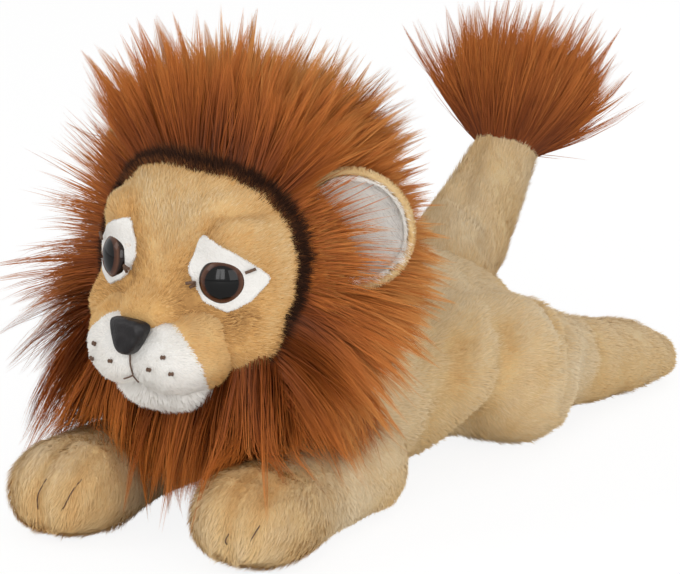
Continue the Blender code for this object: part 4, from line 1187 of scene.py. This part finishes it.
def long_fur(
    names, root, faced, first, last, long, shade, rng, locks, thin, material, node, body, bulk=0.74
):
    """Long fur whose strands start along first and end along last. Most are a dense coat in
    fine tufts, and the others gather into thin pointed locks that stand out beyond it."""
    levels = 5
    count = len(root)
    kind = rng.random(count)
    curl = np.stack([wander(root, 0.014, 200 + k) for k in range(3)], 1) * 0.12
    bulk = np.broadcast_to(bulk, (count,))

    def paths(start, d0, d1, bend, far):
        spots = [start]
        for k in range(levels - 1):
            t = (k + 0.5) / (levels - 1)
            way = unit(d0 * (1 - t) + d1 * t + bend * (0.5 + t))
            spots.append(spots[-1] + way * (far / (levels - 1))[:, None])
        return np.stack(spots, 1)

    path = np.empty((count, levels, 3))
    kept = np.ones(count)
    shade = shade + rng.normal(size=count) * 0.035
    t = np.linspace(0, 1, levels)[None, :, None]
    thick, shorter = long * bulk, (0.24, 1)
    for chosen, tufts, full, turning, loose, uneven, hold, sharp, (cut, rare), deeper in (
        (kind < 0.64, count // 50, thick, 0.06, 0.10, 0.08, (0.3, 0.8), 1.5, shorter, 0.03),
        ((kind >= 0.64) & (kind < 0.975), locks, long, 0.12, 0.05, 0.20, (0.92, 0.99), 1.3, (0.34, 2.5), 0),
        (kind >= 0.975, count // 400, long, 0.10, 0.22, 0.05, (0, 0.3), 1.5, (0.34, 2.5), 0),
    ):
        mine = np.flatnonzero(chosen)
        centres = rng.choice(mine, tufts, replace=False)
        tree = KDTree(tufts)
        for k, index in enumerate(centres):
            tree.insert(root[index], k)
        tree.balance()
        near = np.array([tree.find(spot)[1] for spot in root[mine]])
        turn = rng.normal(size=(tufts, 3)) * turning
        reach = rng.uniform(1 - uneven, 1 + uneven, tufts)
        own_turn = turn[near] + rng.normal(size=(len(mine), 3)) * loose
        begins, ends = first[mine] + own_turn * 0.5, last[mine] + own_turn
        own = paths(root[mine], begins, ends, curl[mine], full[mine] * reach[near])
        begins, ends = first[centres] + turn * 0.5, last[centres] + turn
        lead = paths(root[centres], begins, ends, curl[centres], full[centres] * reach)
        path[mine] = own + (lead[near] - own) * rng.uniform(*hold, len(mine))[:, None, None] * t**sharp
        kept[mine] = 1 - cut * rng.random(len(mine)) ** rare
        shade[mine] += (rng.normal(size=tufts) * 0.045)[near] - deeper
    for centre, halves in (BODY_ROOM, *LEG_ROOMS):
        path[:, 1:] = push_out(path[:, 1:], centre, halves)
    side_limit = 0.0235 + 0.2 * (path[..., 1] + 0.087) + 0.003 * rng.normal(size=(count, 1))
    over = np.where(path[..., 0] > 0.028, path[..., 2] - side_limit, 1)
    over = np.minimum(over, path[..., 0] + 0.0866 - 0.0012 * rng.random((count, 1)))
    past = over[:, 1:].min(1) < 0
    step = (over < 0).argmax(1).clip(1)
    before, after = over[np.arange(count), step - 1], over[np.arange(count), step]
    ends = (step - 1 + before / np.where(past, before - after, 1)) / (levels - 1)
    kept = np.where(past & (node != "tail_tuft"), np.minimum(kept, ends.clip(0.05, 1)), kept)
    path = beside_ears(path, kept, rng)
    wide = thin * rng.uniform(0.7, 1.3, count)
    taper = 1 - 0.8 * np.linspace(0, 1, levels) ** 1.5
    roll = rng.normal(size=count) * 0.6
    for name, part in zip(names, np.array_split(rng.permutation(count), len(names))):
        fur = hair(name, path[part], wide[part], taper, shade[part], faced[part], roll[part], material)
        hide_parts(node)
        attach(fur, body)


root, faced, rng = scatter(head_cloth, 17.0, 180)
back, at = face_edge(root)
inside = (((root - np.array((0, 0.0085, 0.0320))) / (0.036, 0.082, 0.028)) ** 2).sum(1) < 1
kept = (back > 0.0010) & ~inside & ((at[:, 2] > -0.024) | (back > 0.004))
root, faced, at, back = root[kept], faced[kept], at[kept], back[kept]
angle = np.arctan2(np.abs(at[:, 0]), at[:, 2])
share = np.clip((at[:, 1] + 0.0195) / 0.060, 0, 1)
low = smooth((angle - math.radians(95)) / math.radians(45))
lean = np.radians(8 + 44 * share)
spoke = unit(at * (1, 0, 1))
first = spoke * np.cos(lean)[:, None] + np.array((0, 1.0, 0)) * np.sin(lean)[:, None]
first = first @ from_head[:3, :3].T * 0.8 + faced * 0.3
fall = 0.05 + 0.25 * smooth((angle - math.radians(60)) / math.radians(40)) + 1.1 * low + 0.35 * share
last = first + down * fall[:, None] + np.array((0, 0.45, 0)) * (share * smooth((angle - 0.5) / 0.8))[:, None]
long = 0.0425 - 0.0042 * (1 - smooth(angle - 0.5)) - 0.0130 * share**1.5 + 0.003 * low
long *= 1 - 0.6 * smooth((angle - 1.75) / 0.5) * smooth((share - 0.15) / 0.3)
wisps = 0.15 + 0.20 * (rng.random(len(root)) < 0.04)
long *= 1 + smooth((angle - 0.9) / 0.5) * (at[:, 0] < 0) * (share < 0.4) * wisps
long -= (0.0050 + 0.0100 * share) * smooth((angle - 0.6) / 0.5) * (1 - low) * (at[:, 0] > 0)
# The mane's right half (x below 0) is a little paler: painted light on the side that the soft lamp lights.
shade = 0.37 + 0.05 * low + 0.08 * share + 0.04 * (at[:, 0] < 0) + 0.04 * wander(root, 0.02, 182)
shade -= 0.22 * np.exp(-back / 0.006)
for side, word in ((1, "left"), (-1, "right")):
    mine = np.flatnonzero((at[:, 0] * side > 0) & (low < 0.75))
    mine = mine[rng.permutation(len(mine))[:43000]]
    long_fur(
        [f"mane_{word}_fur", f"mane_{word}_fur_rest"], root[mine], faced[mine], first[mine], last[mine],
        long[mine], shade[mine], rng, 900 if side > 0 else 560, 0.00026, mane_hair, f"mane_{word}", "body",
        (0.79 + 0.12 * np.maximum(low, share) - 0.15 * smooth((angle - 0.9) / 0.5) * (at[:, 0] < 0))[mine],
    )

bib_root, bib_faced, rng = scatter(head_cloth, 12.0, 190)
back, at = face_edge(bib_root)
kept = (at[:, 2] < -0.016) & (back > -0.004) & (back < 0.040)
chest_root, chest_faced, rng = scatter(body_cloth, 9.0, 191)
chest = (chest_root[:, 1] < -0.052) & (chest_root[:, 2] > 0.020)
bib_root = np.concatenate([bib_root[kept], chest_root[chest]])
bib_faced = np.concatenate([bib_faced[kept], chest_faced[chest]])
mine = rng.permutation(len(bib_root))[:20000]
bib_root, bib_faced = bib_root[mine], bib_faced[mine]
at = in_head(bib_root)
wide_out = np.clip(at[:, 0] / 0.045, -1, 1)[:, None] * np.array((1.0, 0, 0))
first = np.array((0, -0.55, -0.75)) + bib_faced * 0.35 + wide_out * 0.30
last = np.array((0, -0.04, -1.0)) + wide_out * 0.16 + 0 * bib_root
long = np.clip(bib_root[:, 2] - 0.008, 0.012, 0.046) * 1.02
shade = 0.29 + 0.05 * wander(bib_root, 0.02, 192)
long_fur(
    ["mane_bib_fur"], bib_root, bib_faced, first, last, long, shade, rng,
    300, 0.00028, mane_hair, "mane_bib", "body", 0.94,
)

# Tuft: a brush of the same long fur, sewn in at the end of the tail.
tail_cloth = bpy.data.objects["tail_cloth"]
tip = np.array(TAIL_ROOT) + (0.0010, 0.0430, 0.0340)
out = unit(np.array((0.0, 0.0265, 0.0440)))
root, faced, rng = scatter(tail_cloth, 30.0, 195)
beyond = (root - tip) @ out
kept = np.flatnonzero(beyond > 0.0005)
kept = kept[rng.permutation(len(kept))[:16500]]
root, faced = root[kept], faced[kept]
aft = np.clip(faced @ unit(np.array((0.35, 0.93, 0))), 0, 1)[:, None]
first = unit(faced * 0.9 + out * 0.65)
last = unit(faced * 0.55 + out * 0.95 + aft * np.array((0.10, 0.26, 0.04)))
faced = unit(faced * 0.6 + np.array((0.2, -0.5, 0.4)))
long = 0.0450 - 0.004 * rng.random(len(root))
shade = 0.30 + 0.05 * wander(root, 0.01, 196) - 0.10 * np.exp(-beyond[kept] / 0.004)
long_fur(
    ["tail_tuft_fur"], root, faced, first, last, long, shade, rng,
    300, 0.00027, mane_hair, "tail_tuft", "tail", 0.88,
)
